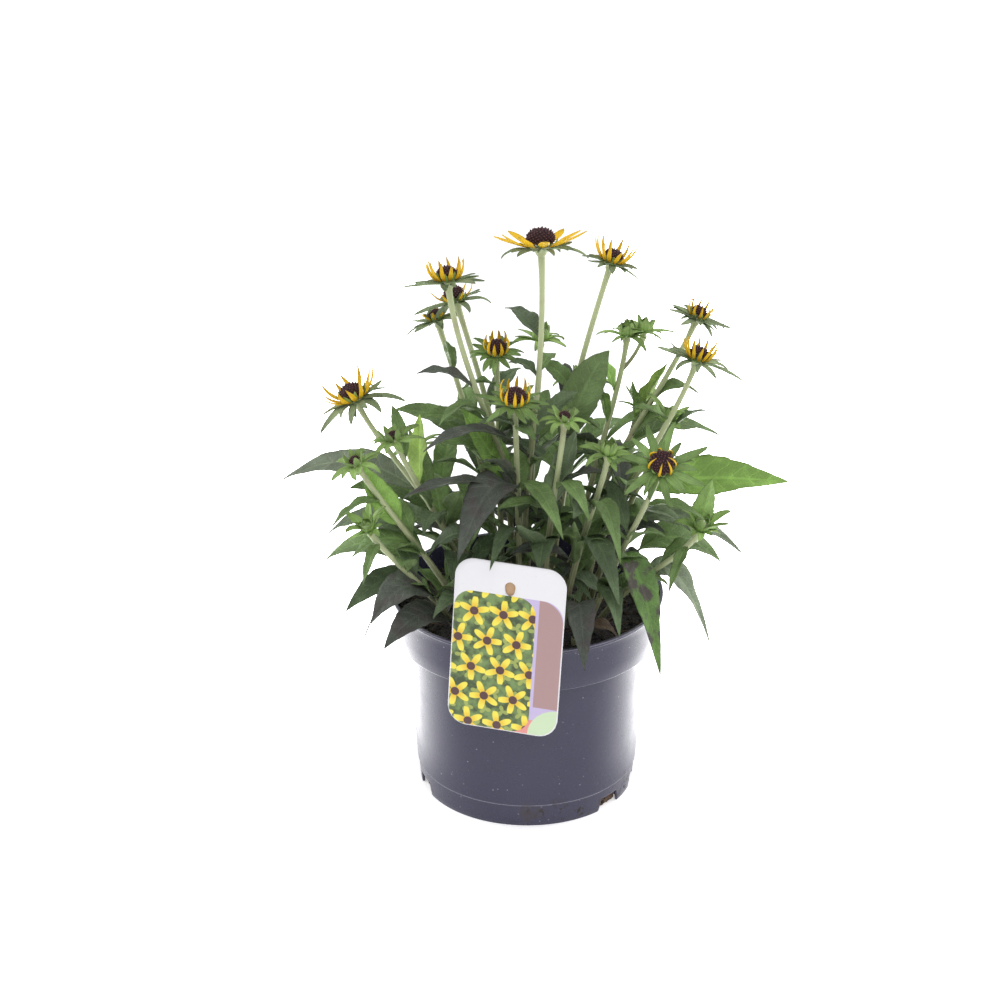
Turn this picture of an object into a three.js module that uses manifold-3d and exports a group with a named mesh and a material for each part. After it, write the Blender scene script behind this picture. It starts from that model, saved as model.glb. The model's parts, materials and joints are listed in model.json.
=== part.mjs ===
// Potted rudbeckia: a compact garden perennial in a 17 cm nursery pot.
// Millimetres, +Z up, origin on the pot's axis at the surface that the pot stands on.
// The front of the plant, with the plant label, faces -Y.

import * as THREE from 'three';
import { mergeVertices } from 'three/addons/utils/BufferGeometryUtils.js';
import Module from 'manifold-3d';

const wasm = await Module();
wasm.setup();

// Driving dimensions of the pot
const POT_RIM_RADIUS = 85;
const POT_HEIGHT = 131;
const POT_WALL = 1.6;
const POT_COLLAR_BOTTOM = 102.5;
const POT_COLLAR_RADIUS = 82.3;
const POT_SHOULDER_RADIUS = 74.4;
const POT_SHOULDER_Z = 100.8;
const POT_LINE_Z = 15;
const POT_LINE_RADIUS = 69.3;
const POT_BASE_RADIUS = 68;
const POT_LIP = 2.2;
const POT_LIP_STEP = 0.5;
const POT_LINE_STEP = 0.5;
const POT_FLOOR_Z = 4;
const POT_SIDES = 30;
const SOIL_SIDES = 15;
const NOTCH_BEARINGS = [-41, -10.5, 20, 139, 169.5, 200];
const NOTCH_WIDTH_LOW = 19;
const NOTCH_WIDTH_HIGH = 15;
const NOTCH_HEIGHT = 8.5;
const NOTCH_CUT_DEPTH = 16;

// Driving dimensions of the soil and of the gap between pieces that touch
const SOIL_Z = 117;
const SOIL_ROUGHNESS = 1.1;
const FIT_GAP = 0.3;
const HOLE_RADIUS = 2.9;
const HOLE_BELOW_FOOT = 0.8;
const HOLE_ABOVE_FOOT = 26;
const FOOT_Z = 108;
const SLIT_HEIGHT = 40;

// Driving dimensions of the plant label
const CARD_WIDTH = 68;
const CARD_HEIGHT = 108;
const CARD_THICKNESS = 1;
const CARD_CORNER = 12;
const CARD_CENTRE = [-13, 134.3];
const CARD_BACK_Y = -84.6;
const CARD_LEAN = 5;
const CARD_TURN = -2.1;
const CARD_FACING = -14.6;
const STAKE_WIDTH = 10;
const STAKE_THICKNESS = 1.2;
const STAKE_Y = -76.9;
const STAKE_TOP_Z = 176;
const HOOK_WIDTH = 8;
const HOOK_HEIGHT = 9;
const HOOK_DEPTH = 5.6;
const PUNCH_RADIUS = 2.2;
const PUNCH_BELOW_TOP = 15;

// Driving dimensions of the plant
const STEM_RADIUS = 1.7;
const STEM_SIDES = 5;
const STEM_STEPS = 4;
const SHOOT_RADIUS = 1.3;
const SHOOT_STEPS = 3;
const SHOOT_DISC = 3.2;
const CROWN_RADIUS = 2.1;
const CROWN_HEIGHT = 4;
const LEAF_RIB_DEPTH = 1.3;
const LEAF_FOLD = 16;
const LEAF_WAVE = 0.9;
const LEAF_WAVES = 2.2;
const LEAF_NOTCH = 0.87;
const LEAF_STALK = 0.06;
const GROUND_LEAF_STALK = 0.3;
const WIDE_LEAF = 7.4;
const STALK_HALF_WIDTH = 1.1;
const BRACT_DEPTH = 0.9;
const HUB_DROP = 1.4;
const HUB_DEPTH = 8;
const PLATE_DEPTH = 0.8;
const PLATE_OVERHANG = 0.5;
const LONG_RAY = 16;
const DISC_SIDES = 10;
const DISC_STUD = 0.045;

// How far straps differ within a whorl: bearing as a share of their spacing, bend in degrees,
// and length as its least share and the range above that.
const BEARING_CHANGE = 0.24;
const BEND_CHANGE = 24;
const SHORTEST = 0.82;
const LENGTH_CHANGE = 0.36;

// Each stem: foot on the soil, the point it rises towards, its head, how far the head leans
// along X and Y for each unit of height, and the length of straight neck below the head.
// Its leaves: place along the stem, tip x, y, z, half width, arch and roll in degrees.
// Its head: kind of bloom, disc radius, and how far its bracts spread as a share of the kind's.
const STEMS = [
  {
    name: 'flower_1', foot: [-3, -6], rise: [-6, -9, 210], head: [7, -5, 358], lean: [-0.05, 0.2],
    neck: 90, kind: 'open', disc: 9, spread: 0.9,
    leaves: [
      [0.78, -14, 35, 305, 7, 6, 0], [0.68, -12, -7, 286, 5, 4, 0], [0.69, 17, 12, 284, 4.5, 4, 0],
      [0.45, -62, -58, 250, 8, 16, 0], [0.5, 30, -10, 268, 9, 6, 60],
    ],
  },
  {
    name: 'flower_2', foot: [12, 8], rise: [12, 6, 210], head: [50, 25, 338], lean: [0.3, 0.1],
    neck: 70, kind: 'upright', disc: 6, spread: 0.75,
    leaves: [[0.42, 49, 5, 289, 14, 10, 80], [0.6, 8, 26, 273, 6, 4, 30]],
  },
  {
    name: 'flower_3', foot: [-2, 8], rise: [10, 6, 200], head: [-48, -5, 337], lean: [-0.12, 0.2],
    neck: 80, kind: 'upright', disc: 6.5, spread: 0.95,
    leaves: [[0.7, -67, -10, 280, 6, 6, 0], [0.6, -54, -26, 252, 7, 12, 0], [0.38, -40, -20, 262, 12, 0, 60]],
  },
  {
    name: 'flower_4', foot: [-8, 18], rise: [-6, 20, 190], head: [-44, 30, 312], lean: [-0.3, 0.1],
    neck: 60, kind: 'sparse', disc: 6.5, spread: 0.85,
    leaves: [[0.5, -66, 20, 240, 9, 8, 20], [0.62, -4, 44, 262, 8, 6, 0]],
  },
  {
    name: 'flower_5', foot: [-16, 28], rise: [-20, 30, 190], head: [-56, 45, 294], lean: [-0.3, 0.1],
    neck: 50, kind: 'young', disc: 4.5, spread: 0.8,
    leaves: [[0.78, -50, 28, 286, 4, 3, 0], [0.5, -84, 48, 232, 9, 8, 20], [0.35, -38, 92, 202, 11, 16, 0]],
  },
  {
    name: 'flower_6', foot: [-16, 4], rise: [-16, 4, 190], head: [-19, 10, 286], lean: [0, -0.3],
    neck: 40, kind: 'hugging', disc: 5.8, spread: 0.72,
    leaves: [[0.82, -40, 0, 266, 4, 4, 0], [0.6, 8, -2, 258, 8, 3, 50]],
  },
  {
    name: 'flower_7', foot: [-6, -26], rise: [-4, -32, 190], head: [-8, -35, 272], lean: [0, -0.25],
    neck: 35, kind: 'hugging', disc: 6.8, spread: 0.78,
    leaves: [
      [0.52, -42, -84, 191, 13, 22, 10], [0.5, -74, -66, 224, 10, 10, -10], [0.62, -32, -45, 232, 4.5, 4, 0],
      [0.54, 20, -86, 206, 7, 14, 0], [0.36, -23, -90, 188, 5, 12, 0], [0.86, -30, -44, 262, 5, 3, 0],
      [0.84, 4, -56, 256, 4.5, 3, 0],
    ],
  },
  {
    name: 'flower_8', foot: [-18, -10], rise: [-30, -14, 170], head: [-104, -15, 266], lean: [-0.45, 0],
    neck: 50, kind: 'nodding', disc: 7.5, spread: 1.05,
    leaves: [
      [0.55, -155.5, 45, 185, 10, 18, 40], [0.58, -66, 8, 246, 11, 0, 60], [0.42, -40, -42, 218, 8, 2, 40],
    ],
  },
  {
    name: 'flower_9', foot: [20, 10], rise: [30, 12, 190], head: [103, 30, 301], lean: [0.35, 0.05],
    neck: 50, kind: 'small', disc: 5, spread: 0.85,
    leaves: [[0.6, 106, 30, 250, 6, 14, 0], [0.5, 122, 54, 212, 11, 12, 0]],
  },
  {
    name: 'flower_10', foot: [28, -2], rise: [40, -4, 180], head: [101, -5, 287], lean: [0.3, 0.1],
    neck: 50, kind: 'dense', disc: 6, spread: 1.05,
    leaves: [
      [0.5, 155.5, -39, 222, 15, 3, -35], [0.75, 62, -10, 258, 5, 3, 0], [0.48, 58, -44, 222, 9, 4, 0],
    ],
  },
  {
    name: 'flower_11', foot: [34, -28], rise: [46, -38, 160], head: [77, -70, 246], lean: [0.05, -0.75],
    neck: 35, kind: 'curled', disc: 7.5, spread: 1.08,
    leaves: [[0.4, 80, -72, 108, 11, 26, 0], [0.7, 104, -62, 208, 6, 5, 0], [0.25, 54, -86, 142, 7, 14, 0]],
  },
  {
    name: 'bud_1', foot: [8, -30], rise: [10, -36, 190], head: [21, -45, 266], lean: [0.05, -0.1],
    neck: 30, kind: 'eyed', disc: 3.4, spread: 0.8,
    leaves: [
      [0.58, 36, -66, 208, 6, 12, 0], [0.28, -7, -82, 214, 8, 2, 0], [0.45, 28, -34, 254, 12, 2, 60],
      [0.34, 6, -72, 178, 9, 10, 0],
    ],
  },
  {
    name: 'bud_2', foot: [-26, -20], rise: [-36, -24, 170], head: [-80, -35, 249], lean: [-0.3, -0.1],
    neck: 35, kind: 'eyed', disc: 3.4, spread: 0.9,
    leaves: [[0.84, -82, -6, 258, 5, 4, 0], [0.5, -62, -78, 206, 8, 10, 0], [0.28, -46, -68, 170, 9, 14, 0]],
  },
  {
    name: 'bud_3', foot: [-32, -30], rise: [-46, -38, 160], head: [-102, -55, 242], lean: [-0.4, -0.2],
    neck: 35, kind: 'eyed', disc: 3.2, spread: 0.85,
    leaves: [
      [0.55, -123, -10, 174, 9, 12, 30], [0.75, -116, -72, 208, 5, 6, 0], [0.6, -100, -46, 238, 9, -2, 60],
      [0.42, -107, -40, 172, 11, 14, 20],
    ],
  },
  {
    name: 'bud_4', foot: [24, 18], rise: [34, 22, 190], head: [61, 40, 286], lean: [0.05, 0],
    neck: 40, kind: 'bud', disc: 4, spread: 0.85,
    leaves: [[0.72, 43, 42, 272, 6, 4, 0], [0.6, 44, 20, 257, 4, 6, 0], [0.35, 74, 82, 188, 12, 14, 0]],
    shoots: [[0.82, 72, 44, 287, 0.2, 0.1]],
  },
  {
    name: 'bud_5', foot: [20, -26], rise: [28, -34, 180], head: [47, -50, 246], lean: [0.1, -0.2],
    neck: 30, kind: 'bud', disc: 3.6, spread: 0.85,
    leaves: [
      [0.6, 54, -82, 188, 7, 18, 0], [0.3, 27, -60, 206, 5, 2, 40], [0.85, 72, -36, 252, 5, 3, 0],
      [0.42, 54, -78, 158, 8, 16, 0],
    ],
  },
  {
    name: 'bud_6', foot: [0, 30], rise: [0, 34, 190], head: [8, 45, 281], lean: [0, 0],
    neck: 40, kind: 'bud', disc: 4, spread: 0.9,
    leaves: [[0.5, 26, 92, 216, 11, 12, 0], [0.6, -22, 84, 226, 9, 10, 0]],
  },
  {
    name: 'bud_7', foot: [40, -16], rise: [56, -26, 150], head: [103, -45, 194], lean: [0.3, -0.2],
    neck: 25, kind: 'tuft', disc: 3.2, spread: 1,
    leaves: [
      [0.94, 109, -45, 227, 8, 0, 70], [0.82, 84, -60, 158, 4, 5, 0], [0.45, 113, -30, 108, 9, 24, -30],
      [0.5, 101, -8, 130, 6, 14, 0],
    ],
  },
  {
    name: 'bud_8', foot: [-36, -40], rise: [-50, -48, 150], head: [-95, -60, 201], lean: [-0.4, -0.2],
    neck: 25, kind: 'tuft', disc: 3.2, spread: 0.9,
    leaves: [
      [0.85, -98, -80, 174, 4, 5, 0], [0.32, -94, -76, 146, 13, 18, 20], [0.18, -86, -90, 136, 11, 14, 20],
      [0.5, -100, -48, 122, 2.5, 14, 0],
    ],
  },
  {
    name: 'bud_9', foot: [34, 10], rise: [46, 18, 180], head: [69, 35, 240], lean: [0.2, 0.1],
    neck: 30, kind: 'tuft', disc: 3.2, spread: 0.7,
    leaves: [[0.95, 86, 30, 271, 7, 2, 40], [0.92, 64, 22, 262, 5, 2, 40], [0.4, 98, 70, 190, 11, 14, 0]],
  },
  {
    name: 'bud_10', foot: [36, 0], rise: [52, 2, 180], head: [85, 5, 243], lean: [0.2, 0.1],
    neck: 30, kind: 'tuft', disc: 3.2, spread: 0.9,
    leaves: [[0.35, 134, 0, 155, 9, 18, -25], [0.4, 98, -38, 189, 6, 10, 0], [0.8, 108, 0, 252, 5, 8, 0]],
  },
  {
    name: 'bud_11', foot: [-30, 18], rise: [-36, 24, 165], head: [-70, 66, 200], lean: [-0.2, 0.2],
    neck: 30, kind: 'bud', disc: 3.4, spread: 1,
    leaves: [[0.4, -112, 30, 186, 10, 14, 30], [0.6, -48, 96, 198, 8, 8, 0]],
  },
  {
    name: 'bud_12', foot: [14, 40], rise: [22, 50, 170], head: [34, 68, 244], lean: [0.1, 0.25],
    neck: 30, kind: 'bud', disc: 3.4, spread: 1,
    leaves: [[0.5, 68, 96, 204, 9, 12, 0], [0.45, 4, 99, 196, 10, 12, 0]],
  },
];

// Each rosette of ground leaves: foot of its crown, and its leaves as above without their place.
const ROSETTES = [
  { foot: [28, -46], leaves: [[33, -99, 126, 8.5, 34, 0], [56, -56, 124, 8, 10, 0]] },
  { foot: [-20, -46], leaves: [[-57, -77, 150, 9, 22, 0], [-34, -70, 134, 7, 16, 0]] },
  { foot: [52, 26], leaves: [[124, 36, 132, 13, 26, -20], [96, 84, 142, 12, 28, 0]] },
  { foot: [14, 58], leaves: [[52, 96, 138, 13, 26, 0], [-14, 98, 142, 12, 26, 0]] },
  { foot: [-42, 38], leaves: [[-66, 92, 138, 13, 26, 0], [-110, 70, 146, 12, 26, 0]] },
  { foot: [-50, 0], leaves: [[-128, 26, 138, 12, 26, 25], [-112, -34, 132, 9, 22, 25]] },
];

// Rays of each kind of bloom: count, length, half width, first and last angle above the disc's plane.
const RAYS = {
  open: [10, 20, 2.2, 12, 34],
  upright: [12, 14, 1.5, 32, 100],
  nodding: [12, 15, 1.5, 20, 88],
  sparse: [6, 10, 1.4, 20, 80],
  young: [8, 8, 1.2, 40, 75],
  hugging: [10, 13, 1.5, 56, 118],
  curled: [7, 13, 1.2, 62, 160],
  small: [10, 11, 1.1, 40, 118],
  dense: [14, 13, 1.4, 44, 98],
};

// Outer and inner whorls of bracts as above, the radius of the hub that carries them as a share
// of the disc's, and the height to which the hub rises in the middle.
const BRACTS = {
  bloom: { whorls: [[7, 23, 2.7, 8, -16], [6, 16, 2.5, 16, -2]], hubShare: 0.75, top: 0 },
  nodding: { whorls: [[7, 22, 2.9, -2, -34], [6, 16, 2.6, 8, -12]], hubShare: 0.75, top: 0 },
  eyed: { whorls: [[6, 17, 2.8, 8, -20], [6, 10, 2.2, 62, 74]], hubShare: 1.3, top: 0 },
  bud: { whorls: [[6, 19, 2.5, 26, -26], [6, 11, 2.6, 60, 100]], hubShare: 0.85, top: 2.5 },
  tuft: { whorls: [[4, 14, 2.4, 30, -10], [4, 12, 2.2, 60, 84]], hubShare: 0.8, top: 1.5 },
};

const COLOURS = {
  pot: '#3d3c50',
  soil: '#2b211b',
  label: '#e8e6e2',
  green: '#5b8a3a',
  ground: '#3f5c33',
  yellow: '#f2b417',
  brown: '#4a2a2c',
};

const UP = new THREE.Vector3(0, 0, 1);

function radians(degrees) {
  return degrees * Math.PI / 180;
}

// A repeatable number from 0 to 1 for each whole number, for small differences between petals.
function chance(number) {
  const value = Math.sin(number * 12.9898) * 43758.5453;
  return value - Math.floor(value);
}

// A closed geometry as a solid that can be joined and cut.
function solidFrom(geometry) {
  const bare = geometry.clone();
  bare.deleteAttribute('normal');
  bare.deleteAttribute('uv');
  const merged = mergeVertices(bare, 1e-4);
  const points = merged.getAttribute('position').array;
  const faces = merged.getIndex().array;
  let volume = 0;
  const corner = [new THREE.Vector3(), new THREE.Vector3(), new THREE.Vector3()];
  for (let i = 0; i < faces.length; i += 3) {
    corner.forEach((c, k) => c.fromArray(points, 3 * faces[i + k]));
    volume += corner[0].dot(corner[1].clone().cross(corner[2]));
  }
  const triVerts = Uint32Array.from(faces);
  if (volume < 0) {
    triVerts.reverse();
  }
  const mesh = new wasm.Mesh({ numProp: 3, vertProperties: Float32Array.from(points), triVerts });
  return new wasm.Manifold(mesh);
}

function geometryFrom(solid) {
  const mesh = solid.getMesh();
  const geometry = new THREE.BufferGeometry();
  geometry.setAttribute('position', new THREE.BufferAttribute(mesh.vertProperties.slice(), 3));
  geometry.setIndex(new THREE.BufferAttribute(mesh.triVerts.slice(), 1));
  return geometry;
}

// Pieces joined to one body, without the loose scraps that a join can leave.
function joined(solids) {
  const bodies = solids.reduce((whole, piece) => whole.add(piece)).decompose();
  return bodies.reduce((largest, body) => (body.volume() > largest.volume() ? body : largest));
}

// A profile of [radius, z] pairs turned about the Z axis.
function turned(profile, sides) {
  const points = profile.map(([radius, z]) => new THREE.Vector2(radius, z));
  return new THREE.LatheGeometry(points, sides).rotateX(Math.PI / 2);
}

// A round stalk of few sides along a curve.
function tubeAlong(curve, radius, steps) {
  const section = new THREE.Shape();
  section.moveTo(radius, 0);
  for (let i = 1; i < STEM_SIDES; i += 1) {
    const angle = 2 * Math.PI * i / STEM_SIDES;
    section.lineTo(radius * Math.cos(angle), radius * Math.sin(angle));
  }
  section.closePath();
  return solidFrom(new THREE.ExtrudeGeometry(section, { extrudePath: curve, steps, bevelEnabled: false }));
}

// A blade with a closed skin: rings of points from its root, then one point at its tip. Where
// steep[k] is true, the quads between ring points k and k + 1 are split along the other diagonal.
function bladeSolid(rings, tip, steep) {
  const size = rings[0].length;
  const positions = rings.flat().flatMap((point) => point.toArray());
  positions.push(...tip.toArray());
  const tipIndex = rings.length * size;
  const index = [];
  for (let k = 2; k < size; k += 1) {
    index.push(0, k, k - 1);
  }
  for (let i = 0; i < rings.length; i += 1) {
    for (let k = 0; k < size; k += 1) {
      const a = i * size + k;
      const b = i * size + (k + 1) % size;
      if (i === rings.length - 1) {
        index.push(a, b, tipIndex);
      } else if (steep[k]) {
        index.push(a, b, a + size, b, b + size, a + size);
      } else {
        index.push(a, b, b + size, a, b + size, a + size);
      }
    }
  }
  const geometry = new THREE.BufferGeometry();
  geometry.setAttribute('position', new THREE.Float32BufferAttribute(positions, 3));
  geometry.setIndex(index);
  return solidFrom(geometry);
}

// Half width of a leaf at s from 0 at its root to 1 at its tip, as a share of its greatest.
function leafOutline(s, stalk) {
  const blade = Math.max(0, (s - stalk) / (1 - stalk));
  return Math.sin(Math.PI * blade ** 0.75) ** 1.1;
}

// Half width of a ray or bract at s from 0 at its root to 1 at its tip, as a share of its own.
function strapOutline(s) {
  return 0.62 + 0.76 * Math.sin(Math.PI * 0.62 * s) - 0.5 * s;
}

// A toothed, folded leaf that leaves its stem at root, arches in an upright plane and ends at tip.
function leafSolid(root, tip, halfWidth, arch, roll, stalk) {
  const steps = halfWidth > WIDE_LEAF ? 6 : 4;
  const middle = root.clone().lerp(tip, 0.45).add(new THREE.Vector3(0, 0, 2 * arch));
  const curve = new THREE.QuadraticBezierCurve3(root, middle, tip);
  const across = new THREE.Vector3(tip.y - root.y, root.x - tip.x, 0).normalize();
  const turn = radians(roll);
  const rings = [];
  for (let i = 0; i < steps; i += 1) {
    const s = i / steps;
    const along = curve.getTangent(s);
    const flatNormal = across.clone().cross(along);
    const side = across.clone().multiplyScalar(Math.cos(turn)).addScaledVector(flatNormal, Math.sin(turn));
    const normal = side.clone().cross(along);
    const tooth = i % 2 === 1 ? LEAF_NOTCH : 1;
    const width = Math.max(STALK_HALF_WIDTH, halfWidth * leafOutline(s, stalk) * tooth);
    const rise = width * Math.tan(radians(LEAF_FOLD));
    const wave = LEAF_WAVE * Math.sin(2 * Math.PI * LEAF_WAVES * s) * width / halfWidth;
    const depth = LEAF_RIB_DEPTH * (1 - 0.35 * s) / 2;
    const centre = curve.getPoint(s);
    rings.push([
      centre.clone().addScaledVector(side, -width).addScaledVector(normal, rise + wave),
      centre.clone().addScaledVector(normal, depth),
      centre.clone().addScaledVector(side, width).addScaledVector(normal, rise - wave),
      centre.clone().addScaledVector(normal, -depth),
    ]);
  }
  return bladeSolid(rings, tip, [false, true, false, true]);
}

// The three directions of a head: two across it and its axis.
function headFrame(lean) {
  const axis = new THREE.Vector3(lean[0], lean[1], 1).normalize();
  const first = new THREE.Vector3(0, 1, 0).cross(axis).normalize();
  const second = axis.clone().cross(first);
  return { axis, first, second };
}

// A whorl of rays or bracts as one star: a hub from which every strap leaves at its bearing.
// The hub's top and bottom rise to points on the head's axis. Each strap is an arc in the upright
// plane at its bearing, and has three corners to its section: left, right and a keel below.
function whorlSolid(centre, frame, hub, straps, depth) {
  const positions = [];
  const index = [];
  const put = (point) => positions.push(...point.toArray()) / 3 - 1;
  const onAxis = (height) => put(centre.clone().addScaledVector(frame.axis, height));
  const top = onAxis(hub.top);
  const bottom = onAxis(hub.bottom);
  const corners = [];
  const tips = [];
  straps.forEach(({ bearing, length, halfWidth, from, to, rootWidth }) => {
    const outward = frame.first.clone().multiplyScalar(Math.cos(radians(bearing)));
    outward.addScaledVector(frame.second, Math.sin(radians(bearing)));
    const side = outward.clone().cross(frame.axis);
    const sweep = radians(to - from) + 1e-6;
    const rows = [];
    for (let i = 0; i <= hub.steps; i += 1) {
      const s = i / hub.steps;
      const angle = radians(from) + sweep * s;
      const radius = hub.radius + length / sweep * (Math.sin(angle) - Math.sin(radians(from)));
      const height = hub.z + length / sweep * (Math.cos(radians(from)) - Math.cos(angle));
      const point = centre.clone().addScaledVector(outward, radius).addScaledVector(frame.axis, height);
      if (i === hub.steps) {
        tips.push(put(point));
        break;
      }
      const normal = frame.axis.clone();
      if (i > 0) {
        normal.multiplyScalar(Math.cos(angle)).addScaledVector(outward, -Math.sin(angle));
      }
      const width = i > 0 ? halfWidth * strapOutline(s) : rootWidth;
      rows.push([
        put(point.clone().addScaledVector(side, -width).addScaledVector(normal, depth / 2)),
        put(point.clone().addScaledVector(side, width).addScaledVector(normal, depth / 2)),
        put(point.clone().addScaledVector(normal, -depth / 2)),
      ]);
    }
    corners.push(rows);
  });
  corners.forEach((rows, k) => {
    const [left, right, keel] = rows[0];
    const [, nextRight, nextKeel] = corners[(k + 1) % corners.length][0];
    index.push(top, right, left, top, left, nextRight, bottom, nextKeel, keel);
    index.push(left, keel, nextKeel, left, nextKeel, nextRight);
    for (let i = 0; i < hub.steps - 1; i += 1) {
      const [l, r, m] = rows[i];
      const [l2, r2, m2] = rows[i + 1];
      index.push(l, r, r2, l, r2, l2, r, m, m2, r, m2, r2, l, l2, m2, l, m2, m);
    }
    const [l, r, m] = rows[hub.steps - 1];
    index.push(l, r, tips[k], r, m, tips[k], m, l, tips[k]);
  });
  const geometry = new THREE.BufferGeometry();
  geometry.setAttribute('position', new THREE.Float32BufferAttribute(positions, 3));
  geometry.setIndex(index);
  return solidFrom(geometry);
}

function placedOnHead(geometry, centre, frame) {
  const matrix = new THREE.Matrix4().makeBasis(frame.first, frame.second, frame.axis);
  matrix.setPosition(centre);
  return geometry.applyMatrix4(matrix);
}

// The straps of one or two whorls set alternately round a hub, each with small differences in
// bearing, length and bend.
function strapsOf(whorls, hubRadius, spread, seed) {
  const total = whorls.reduce((sum, whorl) => sum + whorl[0], 0);
  const spacing = 360 / total;
  const inner = whorls.length > 1 ? whorls[1][0] : 0;
  const straps = [];
  for (let k = 0; k < total; k += 1) {
    const key = seed * 97 + k;
    const isInner = Math.floor((k + 1) * inner / total) > Math.floor(k * inner / total);
    const [, length, halfWidth, from, to] = whorls[isInner ? 1 : 0];
    const bend = BEND_CHANGE * (chance(key + 0.6) - 0.5);
    straps.push({
      bearing: spacing * (k + BEARING_CHANGE * (chance(key) - 0.5)) + 40 * seed,
      length: spread * length * (SHORTEST + LENGTH_CHANGE * chance(key + 0.3)),
      halfWidth: halfWidth * Math.sqrt(spread),
      rootWidth: Math.min(0.62 * halfWidth, 0.36 * radians(spacing) * hubRadius),
      from: from + 0.25 * bend,
      to: to + bend,
    });
  }
  return straps;
}

// The green base of a bloom or bud, with its whorls of bracts.
function greenHead(centre, frame, kind, disc, spread, seed) {
  const { whorls, hubShare, top } = BRACTS[kind] || BRACTS.bloom;
  const radius = hubShare * disc;
  const hub = { radius, z: -HUB_DROP, top, bottom: -HUB_DEPTH, steps: 2 };
  return whorlSolid(centre, frame, hub, strapsOf(whorls, radius, spread, seed), BRACT_DEPTH);
}

// The yellow ring that carries the ray petals, clear of the green base and of the disc above.
function yellowHead(centre, frame, disc, rays, seed) {
  const radius = disc + PLATE_OVERHANG;
  const bottom = FIT_GAP;
  const top = bottom + PLATE_DEPTH;
  const hub = { radius, z: (bottom + top) / 2, top, bottom, steps: rays[1] > LONG_RAY ? 3 : 2 };
  return whorlSolid(centre, frame, hub, strapsOf([rays], radius, 1, seed + 0.5), PLATE_DEPTH);
}

// The dark dome of disc florets, with a studded surface, standing clear of what carries it.
function discHead(centre, frame, disc, base) {
  const profile = [
    [0, base],
    [0.8 * disc, base],
    [0.98 * disc, base + 0.38 * disc],
    [0.74 * disc, base + 0.84 * disc],
    [0, base + 1.14 * disc],
  ];
  const dome = turned(profile, DISC_SIDES);
  const points = dome.getAttribute('position');
  const rows = profile.length;
  for (let i = 0; i < points.count; i += 1) {
    const row = i % rows;
    const column = Math.floor(i / rows) % DISC_SIDES;
    if (row > 1 && row < rows - 1) {
      const swell = 1 + ((row + column) % 2 === 0 ? DISC_STUD : -DISC_STUD);
      points.setX(i, points.getX(i) * swell);
      points.setY(i, points.getY(i) * swell);
    }
  }
  return solidFrom(placedOnHead(dome, centre, frame));
}

function material(colour, roughness) {
  return new THREE.MeshStandardMaterial({ color: colour, roughness, metalness: 0 });
}

const plant = new THREE.Group();

function addNode(name, solid, colour, roughness) {
  const mesh = new THREE.Mesh(geometryFrom(solid), material(colour, roughness));
  mesh.name = name;
  plant.add(mesh);
}

// Pot: one moulded shell with a stepped collar, a raised floor and six drain notches.
function potSolid() {
  const profile = [
    [0, POT_FLOOR_Z],
    [POT_BASE_RADIUS - POT_WALL - 0.4, POT_FLOOR_Z],
    [POT_BASE_RADIUS - POT_WALL, 0],
    [POT_BASE_RADIUS, 0],
    [POT_LINE_RADIUS, POT_LINE_Z],
    [POT_LINE_RADIUS + POT_LINE_STEP, POT_LINE_Z + 0.8],
    [POT_SHOULDER_RADIUS, POT_SHOULDER_Z],
    [POT_COLLAR_RADIUS, POT_COLLAR_BOTTOM],
    [POT_RIM_RADIUS - POT_LIP_STEP, POT_HEIGHT - POT_LIP],
    [POT_RIM_RADIUS, POT_HEIGHT - POT_LIP + 0.3],
    [POT_RIM_RADIUS, POT_HEIGHT],
    [POT_RIM_RADIUS - POT_LIP_STEP - POT_WALL, POT_HEIGHT],
    [POT_COLLAR_RADIUS - POT_WALL, POT_COLLAR_BOTTOM + POT_WALL],
    [POT_SHOULDER_RADIUS - POT_WALL, POT_SHOULDER_Z + POT_WALL],
    [POT_BASE_RADIUS - POT_WALL + 0.2, POT_FLOOR_Z + POT_WALL],
    [0, POT_FLOOR_Z + POT_WALL],
  ];
  let pot = solidFrom(turned(profile, POT_SIDES));
  NOTCH_BEARINGS.forEach((bearing) => {
    const outline = new THREE.Shape();
    outline.moveTo(-NOTCH_WIDTH_LOW / 2, -1);
    outline.lineTo(NOTCH_WIDTH_LOW / 2, -1);
    outline.lineTo(NOTCH_WIDTH_HIGH / 2, NOTCH_HEIGHT);
    outline.lineTo(-NOTCH_WIDTH_HIGH / 2, NOTCH_HEIGHT);
    outline.closePath();
    const cutter = new THREE.ExtrudeGeometry(outline, { depth: NOTCH_CUT_DEPTH, bevelEnabled: false });
    cutter.rotateX(Math.PI / 2);
    cutter.translate(0, POT_BASE_RADIUS + NOTCH_CUT_DEPTH / 2, 0);
    cutter.rotateZ(radians(bearing - 90));
    pot = pot.subtract(solidFrom(cutter));
  });
  return pot;
}

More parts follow.
